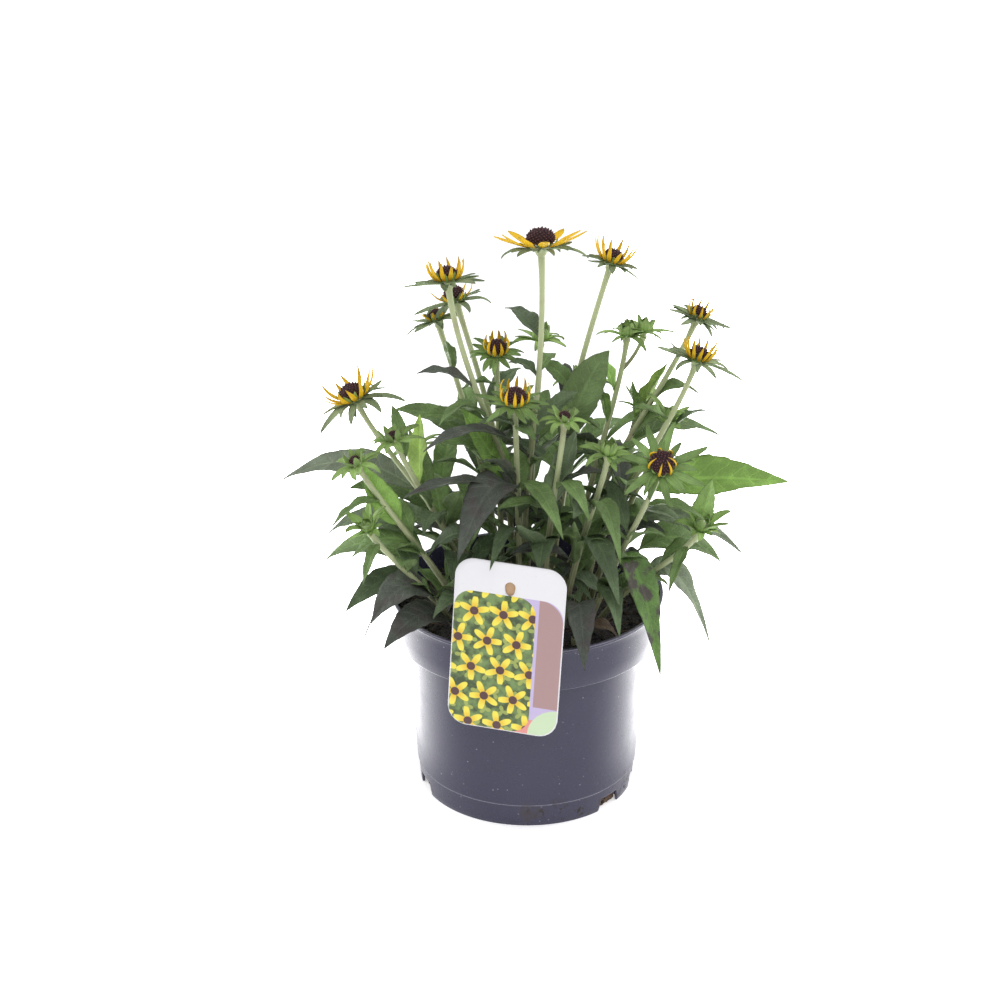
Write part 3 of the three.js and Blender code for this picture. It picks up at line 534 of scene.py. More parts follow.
def straps(centre, directions, whorls, hub, spread, seed, outline, hollow, wild=1.0, extra=0):
    """Rings of every strap of one or two whorls, set alternately round the hub, with the same
    draws as the solids have for bearing, length and bend. Each of extra more straps stands
    halfway between two others, shorter and narrower. Wild scales their curl and twist."""
    total = sum(whorl[0] for whorl in whorls)
    inner = whorls[1][0] if len(whorls) > 1 else 0
    rings = []
    for k in range(total + extra):
        more = k >= total
        place = (k - total) * total / max(extra, 1) + 0.5 if more else k
        key = seed * 97 + k
        is_inner = math.floor((k + 1) * inner / total) > math.floor(k * inner / total)
        _, length, half_width, low, high = whorls[1 if is_inner and not more else 0]
        bend = BEND_CHANGE * (chance(key + 0.6) - 0.5)
        bearing = 360 / total * (place + BEARING_CHANGE * (chance(key) - 0.5)) + 40 * seed
        length = spread * length * (SHORTEST + LENGTH_CHANGE * chance(key + 0.3)) * (0.72 if more else 1)
        half_width = half_width * math.sqrt(spread) * (0.8 if more else 1)
        curl = wild * (64 * (chance(key + 0.45) - 0.5) - 4)
        drift = 18 * (chance(key + 0.8) - 0.5)
        twist = wild * 60 * (chance(key + 0.15) - 0.5)
        lift = 8 if more else 0
        angles = (low + 0.25 * bend + lift, high + bend + lift)
        rings.append(
            strap_rings(centre, directions, hub, bearing, length, half_width, angles,
                        (curl, drift, twist), outline, hollow)
        )
    return np.stack(rings)


UPPER_SIDE = np.linspace(-1, 1, STRAP_BREADTH)
RING_ACROSS = np.concatenate([UPPER_SIDE, UPPER_SIDE[::-1]])
RING_UNDER = np.repeat([0.0, 1.0], STRAP_BREADTH)
print("points on a strap:", len(S_STRAP) * len(RING_ACROSS))

# %% [markdown]
# The green head and the rays
#
# Two whorls of long bracts spread below a bloom, and short bright ones stand round its rays. The
# blooms are of every age, from shut to wide open, so each kind has rows of its own. A row gives
# a count, a length, a half width, and the first and last angle above the disc's plane. The same
# strap makes them all, as a bract and a ray differ only in outline, bend and colour.

# %% Bracts and rays
BRACT_TONE = (0.240, 0.310, 0.160)
CUP_TONE = (0.270, 0.420, 0.110)
BUD_TONE = (0.270, 0.410, 0.120)
LUSH_TONE = (0.175, 0.280, 0.085)
BRACTS = {
    "bloom": dict(whorls=[(7, 23, 2.5, 8, -16), (6, 16, 2.3, 16, -2)], hub=0.75, top=0.0),
    "nodding": dict(whorls=[(7, 22, 2.8, -2, -34), (6, 16, 2.5, 8, -12)], hub=0.75, top=0.0),
    "eyed": dict(whorls=[(6, 17, 2.8, 8, -20), (6, 10, 2.2, 62, 74)], hub=1.3, top=0.0),
    "bud": dict(whorls=[(6, 19, 2.4, 26, -26), (6, 11, 2.6, 60, 100)], hub=0.85, top=2.5),
    "tuft": dict(whorls=[(4, 14, 2.4, 30, -10), (4, 12, 2.2, 60, 84)], hub=0.8, top=1.5),
}
RAYS = {
    "open": (10, 20, 2.2, 12, 34),
    "upright": (12, 14, 1.5, 32, 100),
    "nodding": (12, 15, 1.5, 20, 88),
    "sparse": (6, 10, 1.4, 20, 80),
    "young": (8, 8, 1.2, 40, 75),
    "hugging": (10, 12.5, 1.5, 50, 128),
    "curled": (7, 13, 1.2, 62, 160),
    "small": (10, 11, 1.1, 40, 118),
    "dense": (14, 13, 1.4, 44, 98),
}
RAY_BREADTH = {"open": 1.6, "upright": 1.0, "nodding": 1.25, "hugging": 0.8, "curled": 0.7, "small": 0.85}


def green_head(centre, directions, kind, disc, spread, seed):
    """The cup, its two whorls of bracts with smaller ones between them, and short bright bracts
    that stand round a bloom's rays, or bend over the middle of a bud, or fill a leafy tip."""
    made = BRACTS.get(kind, BRACTS["bloom"])
    hub = made["hub"] * disc
    shapes = [base_skin(centre, directions, hub, made["top"] + 0.05)]
    values = dict(across=RING_ACROSS, along=S_STRAP[:, None], under=RING_UNDER)

    def whorl_of(whorls, radius, height, key, tone, hollow, more=0, wild=1.0):
        """Adds the skins of one whorl and notes its hairs. Each strap's tone is multiplied by a
        draw from 0.78 to 1.22, and by 0.8 plus 0.3 times the share of its length still to go."""
        rings = straps(centre, directions, whorls, (radius, height), spread, key, BRACT_OUTLINE,
                       hollow, wild, more)
        shades = 0.78 + 0.44 * chance(seed * 31 + np.arange(len(rings)))[:, None, None, None]
        tips = 0.8 + 0.3 * (1 - S_STRAP)[:, None, None]
        shapes.append(skins(rings, tone=np.asarray(tone) * shades * tips, **values))
        rim_hairs(rings, 9 * len(rings), 0.8, seed)

    outer = LUSH_TONE if kind in ("hugging", "curled") else BRACT_TONE if kind in RAYS else BUD_TONE
    whorl_of(made["whorls"], hub - 0.6, -1.4, seed, outer, 0.35, 5)
    if kind in RAYS and kind != "open":
        whorl_of([(8, 7.5, 1.5, 50, 78)], hub, -1.0, seed + 0.3, CUP_TONE, 0.5, wild=0.5)
    if kind == "open":
        whorl_of([(5, 7.0, 1.5, 40, 60)], hub, -0.8, seed + 0.3, CUP_TONE, 0.5, wild=0.5)
    if kind in ("bud", "tuft"):
        closed = [(7, 2.7 * disc, 0.66 * disc, 50, 134)]
        whorl_of(closed, 0.95 * disc, -0.6, seed + 0.5, CUP_TONE, 0.5, wild=0.15)
    if kind == "tuft":
        whorl_of([(5, 19, 3.0, 62, 28)], 0.6 * disc, -1.0, seed + 0.7, BUD_TONE, 0.4)
    return shapes


def ray_ring(centre, directions, kind, disc, seed):
    """The yellow rays of a bloom, from just below the rim of its disc."""
    count, length, half_width, low, high = RAYS[kind]
    whorl = [(count, length, half_width * RAY_BREADTH.get(kind, 0.8), low, high)]
    hollow = 0.3 if kind == "open" else 0.4
    wild = 0.25 if kind == "open" else 0.45
    outline = LANCE_OUTLINE if kind == "open" else RAY_OUTLINE
    rings = straps(centre, directions, whorl, (disc - 0.1, 0.7), 1.0, seed + 0.5, outline, hollow, wild)
    return skins(rings, across=RING_ACROSS, along=S_STRAP[:, None], under=RING_UNDER)


print("kinds of bloom:", ", ".join(RAYS))

# %% [markdown]
# Disc florets
#
# The dark middle of the bloom is a dome of many tiny florets. Each new floret turns on by the
# golden angle, which spaces them evenly on the dome. Every floret is a small five-sided peg with
# a swollen body and a point, all of them made as one array.

# %% Dome of florets
GOLDEN_ANGLE = math.pi * (3 - math.sqrt(5))
PEG_CORNERS = 5
FLORETS_PER_MM = 17
DOME_CORNERS = 24
DOME_RINGS = 12


def pegs(feet, ways, radii, heights, profile, corners=PEG_CORNERS, **values):
    """Small closed pegs that stand on feet along ways. Each ring of a peg is a regular polygon,
    at a share of its height and with a share of its radius, both from profile."""
    first = unit(np.cross(ways, np.where(np.abs(ways[:, 2:]) > 0.9, [[1.0, 0, 0]], [[0, 0, 1.0]])))
    second = np.cross(ways, first)
    angle = 2 * np.pi * np.arange(corners) / corners
    ring = np.cos(angle)[:, None] * first[:, None] + np.sin(angle)[:, None] * second[:, None]
    width, level = np.asarray(profile, float).T
    rise = heights[:, None, None] * level[:, None] * ways[:, None]
    wide = (radii[:, None] * width)[..., None, None] * ring[:, None]
    rings = feet[:, None, None] + rise[:, :, None] + wide
    tips = feet + heights[:, None] * ways
    return skins(rings, tips=tips, **values)


def disc_dome(centre, directions, disc, base, seed):
    """An egg-shaped dome, 0.88 of the disc's radius wide and 1.06 of it high above base, covered
    with florets on a golden spiral. The cosine of a floret's polar angle is 1 less 1.42 times
    its share of the count, which gives every floret the same area."""
    basis = np.stack(directions)
    angle = 2 * np.pi * np.arange(DOME_CORNERS) / DOME_CORNERS
    polar = np.radians(np.linspace(118, 4, DOME_RINGS))
    body_r, body_z = 0.88 * disc * np.sin(polar), base + disc * (0.40 + 0.66 * np.cos(polar))
    local = np.stack([body_r[:, None] * np.cos(angle), body_r[:, None] * np.sin(angle),
                      np.broadcast_to(body_z[:, None], (DOME_RINGS, DOME_CORNERS))], -1)
    shapes = [skins((centre + local @ basis)[None], across=0.0, along=0.3)]
    count = int(FLORETS_PER_MM * disc)
    k = np.arange(count)
    share = (k + 0.5) / count
    polar = np.arccos(1 - 1.42 * share)
    turn = k * GOLDEN_ANGLE
    around = np.stack([np.cos(turn), np.sin(turn)], -1)
    feet = np.column_stack([0.86 * disc * np.sin(polar)[:, None] * around,
                            base + disc * (0.40 + 0.64 * np.cos(polar))])
    ways = unit(np.column_stack([np.sin(polar)[:, None] * around, np.cos(polar) + 0.25]))
    size = 1.0 * disc / math.sqrt(count)
    radii = size * (0.78 + 0.25 * chance(seed * 53 + k))
    heights = size * (1.3 + 1.2 * chance(seed * 59 + k))
    profile = [(0.9, 0.0), (1.0, 0.3), (0.55, 0.72)]
    florets = pegs(centre + feet @ basis, ways @ basis, radii, heights, profile,
                   across=chance(seed * 61 + k)[:, None, None], along=np.array([0.0, 0.5, 1.0])[:, None],
                   vein=share[:, None, None])
    return shapes + [florets]


print("florets on the largest disc:", FLORETS_PER_MM * 9)

# %% [markdown]
# The stems and their leaves
#
# Each entry gives a stem's foot on the soil, the point it rises towards, its head, how the head
# leans, the straight neck below it, its kind of bloom, its disc's radius and the spread of its
# bracts. Its leaves follow: place along the stem, tip, half width, arch, roll and tone.

# %% The flowering stems
FLOWERS = [
    ((-3, -6), (-6, -9, 210), (7, -5, 358), (-0.05, 0.2), 90, "open", 9, 0.9, [
        (0.78, -14, 35, 305, 7, 6, 0, "deep"), (0.68, -12, -7, 286, 5, 4, 0, "deep"),
        (0.69, 17, 12, 284, 4.5, 4, 0, "mid"), (0.45, -62, -58, 250, 8, 16, 0, "plum"),
        (0.5, 30, -10, 268, 9, 6, 60, "deep")]),
    ((12, 8), (12, 6, 210), (50, 25, 338), (0.3, 0.1), 70, "upright", 6, 0.75, [
        (0.42, 49, 5, 289, 12.5, 10, 80, "mid"), (0.6, 8, 26, 273, 6, 4, 30, "mid")]),
    ((-2, 8), (10, 6, 200), (-48, -5, 337), (-0.12, 0.2), 80, "upright", 6.5, 0.95, [
        (0.7, -67, -10, 280, 6, 6, 0, "plum"), (0.6, -54, -26, 252, 7, 12, 0, "mid"),
        (0.38, -40, -20, 262, 12, 0, 60, "bright")]),
    ((-8, 18), (-6, 20, 190), (-44, 30, 312), (-0.3, 0.1), 60, "sparse", 6.5, 0.85, [
        (0.5, -66, 20, 240, 9, 8, 20, "mid"), (0.62, -4, 44, 262, 8, 6, 0, "deep")]),
    ((-16, 28), (-20, 30, 190), (-56, 45, 294), (-0.3, 0.1), 50, "young", 4.5, 0.8, [
        (0.78, -50, 28, 286, 4, 3, 0, "mid"), (0.5, -84, 48, 232, 9, 8, 20, "mid"),
        (0.35, -38, 92, 202, 11, 16, 0, "deep")]),
    ((-16, 4), (-16, 4, 190), (-19, 10, 286), (0, -0.3), 40, "hugging", 5.8, 0.72, [
        (0.82, -40, 0, 266, 4, 4, 0, "mid"), (0.6, 8, -2, 258, 8, 3, 50, "deep")]),
    ((-6, -26), (-4, -32, 190), (-8, -35, 272), (0, -0.25), 35, "hugging", 6.8, 0.78, [
        (0.52, -42, -84, 191, 13, 22, 10, "plum"), (0.5, -74, -66, 224, 10, 10, -10, "plum"),
        (0.62, -32, -45, 232, 4.5, 4, 0, "mid"), (0.54, 20, -86, 206, 7, 14, 0, "mid"),
        (0.36, -23, -90, 188, 5, 12, 0, "deep"), (0.86, -30, -44, 262, 5, 3, 0, "deep"),
        (0.84, 4, -56, 256, 4.5, 3, 0, "mid")]),
    ((-18, -10), (-30, -14, 170), (-104, -15, 266), (-0.45, 0), 50, "nodding", 7.5, 1.05, [
        (0.55, -155.5, 45, 185, 10, 18, 40, "grey"), (0.58, -66, 8, 246, 11, 0, 60, "lime"),
        (0.42, -40, -42, 218, 8, 2, 40, "mid")]),
    ((20, 10), (30, 12, 190), (103, 30, 301), (0.35, 0.05), 50, "small", 5, 0.85, [
        (0.6, 106, 30, 250, 6, 14, 0, "mid"), (0.5, 122, 54, 212, 11, 12, 0, "mid")]),
    ((28, -2), (40, -4, 180), (101, -5, 287), (0.3, 0.1), 50, "dense", 6, 1.05, [
        (0.5, 155.5, -39, 222, 15, 3, -35, "bright"), (0.75, 62, -10, 258, 5, 3, 0, "mid"),
        (0.48, 58, -44, 222, 9, 4, 0, "mid")]),
    ((34, -28), (46, -38, 160), (77, -70, 246), (0.05, -0.75), 35, "curled", 7.5, 1.08, [
        (0.4, 80, -72, 108, 11, 26, 0, "rusty"), (0.7, 104, -62, 208, 6, 5, 0, "mid"),
        (0.25, 54, -86, 142, 7, 14, 0, "deep")]),
]
print("flowering stems:", len(FLOWERS), "with", sum(len(f[8]) for f in FLOWERS), "leaves")

# %% The stems that end in a bud or a leafy tip
BUDS = [
    ((8, -30), (10, -36, 190), (21, -45, 266), (0.05, -0.1), 30, "eyed", 3.4, 0.8, [
        (0.58, 36, -66, 208, 6, 12, 0, "mid"), (0.28, -7, -82, 214, 8, 2, 0, "deep"),
        (0.45, 28, -34, 254, 12, 2, 60, "deep"), (0.34, 6, -72, 178, 9, 10, 0, "deep")]),
    ((-26, -20), (-36, -24, 170), (-80, -35, 249), (-0.3, -0.1), 35, "eyed", 3.4, 0.9, [
        (0.84, -82, -6, 258, 5, 4, 0, "mid"), (0.5, -62, -78, 206, 8, 10, 0, "deep"),
        (0.28, -46, -68, 170, 9, 14, 0, "deep")]),
    ((-32, -30), (-46, -38, 160), (-102, -55, 242), (-0.4, -0.2), 35, "eyed", 3.2, 0.85, [
        (0.55, -123, -10, 174, 9, 12, 30, "deep"), (0.75, -116, -72, 208, 5, 6, 0, "mid"),
        (0.6, -100, -46, 238, 9, -2, 60, "bright"), (0.42, -107, -40, 172, 11, 14, 20, "mid")]),
    ((24, 18), (34, 22, 190), (61, 40, 286), (0.05, 0), 40, "bud", 4, 0.85, [
        (0.72, 43, 42, 272, 6, 4, 0, "bright"), (0.6, 44, 20, 257, 4, 6, 0, "bright"),
        (0.35, 74, 82, 188, 12, 14, 0, "mid")]),
    ((20, -26), (28, -34, 180), (47, -50, 246), (0.1, -0.2), 30, "bud", 3.6, 0.85, [
        (0.6, 54, -82, 188, 7, 18, 0, "mid"), (0.3, 27, -60, 206, 5, 2, 40, "mid"),
        (0.85, 72, -36, 252, 5, 3, 0, "mid"), (0.42, 54, -78, 158, 8, 16, 0, "deep")]),
    ((0, 30), (0, 34, 190), (8, 45, 281), (0, 0), 40, "bud", 4, 0.9, [
        (0.5, 26, 92, 216, 11, 12, 0, "mid"), (0.6, -22, 84, 226, 9, 10, 0, "mid")]),
    ((40, -16), (56, -26, 150), (103, -45, 194), (0.3, -0.2), 25, "tuft", 3.2, 1, [
        (0.94, 109, -45, 227, 8, 0, 70, "bright"), (0.82, 84, -60, 158, 4, 5, 0, "mid"),
        (0.45, 113, -30, 108, 9, 24, -30, "grey"), (0.5, 101, -8, 130, 6, 14, 0, "grey")]),
    ((-36, -40), (-50, -48, 150), (-95, -60, 201), (-0.4, -0.2), 25, "tuft", 3.2, 0.9, [
        (0.85, -98, -80, 174, 4, 5, 0, "mid"), (0.32, -94, -76, 146, 13, 18, 20, "plum"),
        (0.18, -86, -90, 136, 11, 14, 20, "plum"), (0.5, -100, -48, 122, 2.5, 14, 0, "dry")]),
    ((34, 10), (46, 18, 180), (69, 35, 240), (0.2, 0.1), 30, "tuft", 3.2, 0.7, [
        (0.95, 86, 30, 271, 7, 2, 40, "lime"), (0.92, 64, 22, 262, 5, 2, 40, "bright"),
        (0.4, 98, 70, 190, 11, 14, 0, "mid")]),
    ((36, 0), (52, 2, 180), (85, 5, 243), (0.2, 0.1), 30, "tuft", 3.2, 0.9, [
        (0.35, 134, 0, 155, 9, 18, -25, "grey"), (0.4, 98, -38, 189, 6, 10, 0, "grey"),
        (0.8, 108, 0, 252, 5, 8, 0, "deep")]),
    ((-30, 18), (-36, 24, 165), (-70, 66, 200), (-0.2, 0.2), 30, "bud", 3.4, 1, [
        (0.4, -112, 30, 186, 10, 14, 30, "mid"), (0.6, -48, 96, 198, 8, 8, 0, "mid")]),
    ((14, 40), (22, 50, 170), (34, 68, 244), (0.1, 0.25), 30, "bud", 3.4, 1, [
        (0.5, 68, 96, 204, 9, 12, 0, "mid"), (0.45, 4, 99, 196, 10, 12, 0, "mid")]),
]
SHOOT_OF_BUD_4 = (0.82, (72, 44, 287), (0.2, 0.1))
print("bud stems:", len(BUDS), "with", sum(len(b[8]) for b in BUDS), "leaves")

# %% [markdown]
# Materials
#
# Leaf, stem, petal, floret, plastic, soil and card each get their own finish from small
# patterns in their nodes. A helper keeps the wiring short: it adds a node, connects what it is
# given and hands back the node's output.

# %% A short way to wire nodes
class Finish:
    """One material. Every method adds a node and gives back its output socket."""

    def __init__(self, name, roughness, **sockets):
        """A new material whose shader has that roughness and the given values on its sockets."""
        self.material = bpy.data.materials.new(name)
        self.material.use_nodes = True
        self.nodes = self.material.node_tree.nodes
        self.links = self.material.node_tree.links
        self.shader = self.nodes["Principled BSDF"]
        self.shader.inputs["Roughness"].default_value = roughness
        for socket, value in sockets.items():
            self.shader.inputs[socket.replace("_", " ")].default_value = value

    def join(self, value, socket):
        """Links an output to the socket, or sets it to a plain value."""
        if isinstance(value, bpy.types.NodeSocket):
            self.links.new(value, socket)
        else:
            socket.default_value = value

    def attribute(self, name, output="Fac"):
        """A value that every point of the mesh carries."""
        node = self.nodes.new("ShaderNodeAttribute")
        node.attribute_name = name
        return node.outputs[output]

    def place(self):
        """The point in the object's own coordinates, in metres."""
        return self.nodes.new("ShaderNodeTexCoord").outputs["Object"]

    def axis(self, name):
        """The point's own coordinate along X, Y or Z, in metres."""
        node = self.nodes.new("ShaderNodeSeparateXYZ")
        self.join(self.place(), node.inputs[0])
        return node.outputs[name]

    def sum(self, operation, a, b=0.0, c=0.0):
        """One operation on up to three numbers, such as a plus b, or a times b plus c."""
        node = self.nodes.new("ShaderNodeMath")
        node.operation = operation
        for value, socket in zip((a, b, c), node.inputs):
            self.join(value, socket)
        return node.outputs[0]

    def length(self, a, b):
        """The square root of a squared plus b squared."""
        squares = self.sum("MULTIPLY_ADD", a, a, self.sum("MULTIPLY", b, b))
        return self.sum("SQRT", squares)

    def ramp(self, value, low, high, start=0.0, end=1.0):
        """Start below low, end above high, and a smooth step between them."""
        node = self.nodes.new("ShaderNodeMapRange")
        node.interpolation_type = "SMOOTHSTEP"
        for given, socket in zip((value, low, high, start, end), node.inputs):
            self.join(given, socket)
        return node.outputs[0]

    def noise(self, scale, detail=3.0, roughness=0.55):
        """Clouds from 0 to 1, with about scale of them to the metre."""
        node = self.nodes.new("ShaderNodeTexNoise")
        self.join(self.place(), node.inputs["Vector"])
        node.inputs["Scale"].default_value = scale
        node.inputs["Detail"].default_value = detail
        node.inputs["Roughness"].default_value = roughness
        return node.outputs["Fac"]

    def cells(self, scale, feature="F1"):
        """The distance to the nearest of many scattered points, or to the border between two."""
        node = self.nodes.new("ShaderNodeTexVoronoi")
        node.feature = feature
        self.join(self.place(), node.inputs["Vector"])
        node.inputs["Scale"].default_value = scale
        return node.outputs["Distance"]

    def mix(self, share, a, b):
        """Colour a times 1 less share, plus colour b times share."""
        node = self.nodes.new("ShaderNodeMix")
        node.data_type = "RGBA"
        self.join(share, node.inputs["Factor"])
        self.join(self.colour(a), node.inputs[6])
        self.join(self.colour(b), node.inputs[7])
        return node.outputs[2]

    def colour(self, value):
        """An output as it is, or three numbers with a fourth for full opacity."""
        return value if isinstance(value, bpy.types.NodeSocket) else (*value, 1.0)

    def scale(self, colour, by):
        """Each of the colour's three numbers times by."""
        node = self.nodes.new("ShaderNodeVectorMath")
        node.operation = "SCALE"
        self.join(colour, node.inputs[0])
        self.join(by, node.inputs["Scale"])
        return node.outputs[0]

    def bump(self, height, distance, strength=1.0):
        """Shades the surface as if it stood up by height times distance."""
        node = self.nodes.new("ShaderNodeBump")
        node.inputs["Strength"].default_value = strength
        node.inputs["Distance"].default_value = distance
        self.join(height, node.inputs["Height"])
        self.join(node.outputs[0], self.shader.inputs["Normal"])

    def paint(self, colour, roughness=None):
        """Joins the shader's colour and roughness, and gives back the finished material."""
        self.join(colour, self.shader.inputs["Base Color"])
        if roughness is not None:
            self.join(roughness, self.shader.inputs["Roughness"])
        return self.material


print("finishes are wired with:", [m for m in dir(Finish) if not m.startswith("_")])

# %% [markdown]
# Leaf finish
#
# A rudbeckia leaf is rough with short hairs, paler below, with light veins, and in this plant
# often bronze. The veins run where the blade is sunk, because both read the same point values.

# %% Leaf and stem finishes
def leaf_finish():
    """A leaf's tone, varied by clouds and blotched on bronze leaves. It is paler along the
    midrib and where the vein value is near a whole number, with a fine net between, a dark rim
    and a paler underside. Veins and net are sunk in the bump."""
    leaf = Finish("leaf", 0.5, Specular_IOR_Level=0.3)
    tone = leaf.attribute("tone", "Color")
    edge = leaf.sum("ABSOLUTE", leaf.attribute("across"))
    wobble = leaf.sum("MULTIPLY", leaf.noise(220), 0.35)
    phase = leaf.sum("FRACT", leaf.sum("ADD", leaf.attribute("vein"), wobble))
    near = leaf.sum("MULTIPLY", leaf.sum("ABSOLUTE", leaf.sum("SUBTRACT", phase, 0.5)), 2.0)
    side_veins = leaf.sum("MULTIPLY", leaf.ramp(near, 0.84, 0.99), leaf.ramp(edge, 0.6, 1.0, 1.0, 0.0))
    has_veins = leaf.ramp(leaf.sum("ABSOLUTE", leaf.attribute("vein")), 0.0, 0.2)
    midrib = leaf.ramp(edge, 0.03, 0.13, 1.0, 0.0)
    veins = leaf.sum("MAXIMUM", leaf.sum("MULTIPLY", side_veins, has_veins), midrib)
    net = leaf.sum("MULTIPLY", leaf.ramp(leaf.cells(520, "DISTANCE_TO_EDGE"), 0.0, 0.16, 1.0, 0.0), has_veins)
    varied = leaf.scale(tone, leaf.ramp(leaf.noise(70, 4.0), 0.35, 0.7, 0.78, 1.22))
    blotch = leaf.sum("MULTIPLY", leaf.ramp(leaf.noise(95, 3.0), 0.5, 0.62), leaf.attribute("patch"))
    varied = leaf.mix(blotch, varied, (0.062, 0.045, 0.048))
    pale = leaf.scale(varied, 1.75)
    veined = leaf.mix(leaf.sum("MULTIPLY", veins, 0.55), varied, pale)
    netted = leaf.mix(leaf.sum("MULTIPLY", net, 0.22), veined, pale)
    rimmed = leaf.mix(leaf.ramp(edge, 0.86, 1.0, 0.0, 0.3), netted, (0.045, 0.042, 0.030))
    below = leaf.mix(0.22, rimmed, (0.20, 0.25, 0.14))
    colour = leaf.mix(leaf.attribute("under"), rimmed, below)
    fine = leaf.sum("MULTIPLY", leaf.noise(900, 2.0), 0.3)
    sunk = leaf.sum("MULTIPLY_ADD", net, 0.35, leaf.sum("MULTIPLY", veins, 0.6))
    leaf.bump(leaf.sum("SUBTRACT", fine, sunk), 0.0006, 0.7)
    return leaf.paint(colour, leaf.ramp(leaf.noise(300), 0.3, 0.7, 0.45, 0.65))


def stem_finish():
    """A stem's tone, paler on its ribs, with a reddish flush in patches and a fine rough bump."""
    stem = Finish("stem", 0.5, Specular_IOR_Level=0.3, Sheen_Weight=0.08)
    tone = stem.attribute("tone", "Color")
    ribs = stem.attribute("across")
    pale = stem.mix(0.4, tone, (0.42, 0.46, 0.30))
    striped = stem.mix(stem.ramp(ribs, 0.3, 0.95), tone, pale)
    flush = stem.ramp(stem.noise(38, 4.0), 0.55, 0.75, 0.0, 0.45)
    colour = stem.mix(flush, striped, (0.19, 0.11, 0.075))
    stem.bump(stem.noise(1100, 2.0), 0.0003, 0.5)
    return stem.paint(colour, stem.ramp(stem.noise(260), 0.3, 0.7, 0.42, 0.6))


LEAF_FINISH = leaf_finish()
STEM_FINISH = stem_finish()
print("made:", LEAF_FINISH.name, STEM_FINISH.name)

# %% [markdown]
# Bloom finishes
#
# A ray is golden yellow with fine lines along it and deeper orange at its root. The florets are
# a dark purple brown, lighter at their points, with a little pollen low on the dome.

# %% Ray, floret and hair finishes
def ray_finish():
    """Gold that deepens to orange at the root and pales at the tip, with fine lines from a
    sine of 17 times the place across, and small lighter spots."""
    ray = Finish("ray_petal", 0.5, Specular_IOR_Level=0.3)
    along = ray.attribute("along")
    lines = ray.sum("SINE", ray.sum("MULTIPLY", ray.attribute("across"), 17.0))
    gold = ray.mix(ray.ramp(along, 0.0, 0.4), (0.74, 0.36, 0.010), (0.87, 0.54, 0.014))
    gold = ray.mix(ray.ramp(along, 0.8, 1.0, 0.0, 0.6), gold, (0.66, 0.47, 0.06))
    lined = ray.mix(ray.ramp(lines, -0.2, 1.0, 0.0, 0.25), gold, (0.66, 0.34, 0.008))
    spots = ray.ramp(ray.noise(240, 3.0), 0.55, 0.8, 0.0, 0.3)
    colour = ray.mix(spots, lined, (0.90, 0.62, 0.05))
    ray.bump(ray.sum("MULTIPLY", lines, 0.5), 0.00025, 0.6)
    return ray.paint(colour)


def floret_finish():
    """Purple brown that differs from floret to floret, lighter at the points, with orange
    pollen on the lowest florets."""
    floret = Finish("disc_floret", 0.6, Specular_IOR_Level=0.25)
    tip = floret.attribute("along")
    dark = floret.mix(floret.attribute("across"), (0.030, 0.012, 0.014), (0.075, 0.030, 0.034))
    pale = floret.mix(floret.ramp(tip, 0.45, 1.0, 0.0, 0.7), dark, (0.150, 0.068, 0.070))
    low = floret.ramp(floret.attribute("vein"), 0.86, 0.98, 0.0, 0.4)
    colour = floret.mix(floret.sum("MULTIPLY", low, tip), pale, (0.34, 0.14, 0.02))
    floret.bump(floret.noise(2500, 2.0), 0.0002, 0.6)
    return floret.paint(colour, floret.ramp(tip, 0.0, 1.0, 0.7, 0.45))


def hair_finish():
    """Pale hairs, some greener and some whiter, with a little sheen."""
    hair = Finish("plant_hair", 0.45, Sheen_Weight=0.2)
    white = hair.mix(hair.noise(500), (0.42, 0.47, 0.34), (0.72, 0.74, 0.66))
    return hair.paint(white)


RAY_FINISH = ray_finish()
FLORET_FINISH = floret_finish()
HAIR_FINISH = hair_finish()
print("made:", RAY_FINISH.name, FLORET_FINISH.name, HAIR_FINISH.name)

# %% [markdown]
# Leaves between the stems
#
# The solids hold the leaves that show from outside. A real plant is also full of smaller leaves
# between its stems, which close the view through it. They are added here, kept well inside the
# outer leaves, on each stem at places and bearings that step on by the golden angle.

# %% Inner leaves
INNER_REACH_X = 98
INNER_REACH_Y = 72
INNER_SHORTEST = 30
INNER_LENGTH_RANGE = 24
INNER_LEAST = 14
INNER_TONES = ("mid", "mid", "deep", "mid", "plum")


def inner_leaves(foot, rise, neck, head, order, count):
    """Leaves low on a stem. Each is 30 to 54 mm long, rises a little, and is cut short where its
    tip would pass an ellipse that lies inside the outer leaves."""
    shapes = []
    for k in range(count):
        draw = order * 7 + k
        place, _ = cubic(foot, rise, neck, head, [0.12 + 0.46 * (k + chance(draw)) / count])
        root = place[0]
        bearing = draw * GOLDEN_ANGLE
        length = INNER_SHORTEST + INNER_LENGTH_RANGE * chance(draw + 0.2)
        way = np.array([math.cos(bearing), math.sin(bearing), 0.25 + 0.7 * chance(draw + 0.4)])
        tip = root + length * unit(way)
        reach = math.hypot(tip[0] / INNER_REACH_X, tip[1] / INNER_REACH_Y)
        tip = root + (tip - root) * min(1.0, 1 / max(reach, 1e-6) ** 2)
        if np.linalg.norm(tip - root) < INNER_LEAST:
            continue
        tone = INNER_TONES[draw % len(INNER_TONES)]
        half_width = 4.8 + 3.4 * chance(draw + 0.7)
        roll = 50 * (chance(draw + 0.9) - 0.5)
        shapes.append(leaf_skin(root, tip, half_width, 7, roll, 0.1, tone, draw, 0.6))
    return shapes


print("inner leaves stay within", INNER_REACH_X, "by", INNER_REACH_Y, "mm of the axis")

# %% [markdown]
# One stem at a time
#
# A stem, its leaves and its green head grew as one piece, so they are one mesh here too, in
# place of one solid. The rays and the disc have other colours and are meshes of their own. One
# function grows every stem from its entry in the tables above, so a stem is changed there.

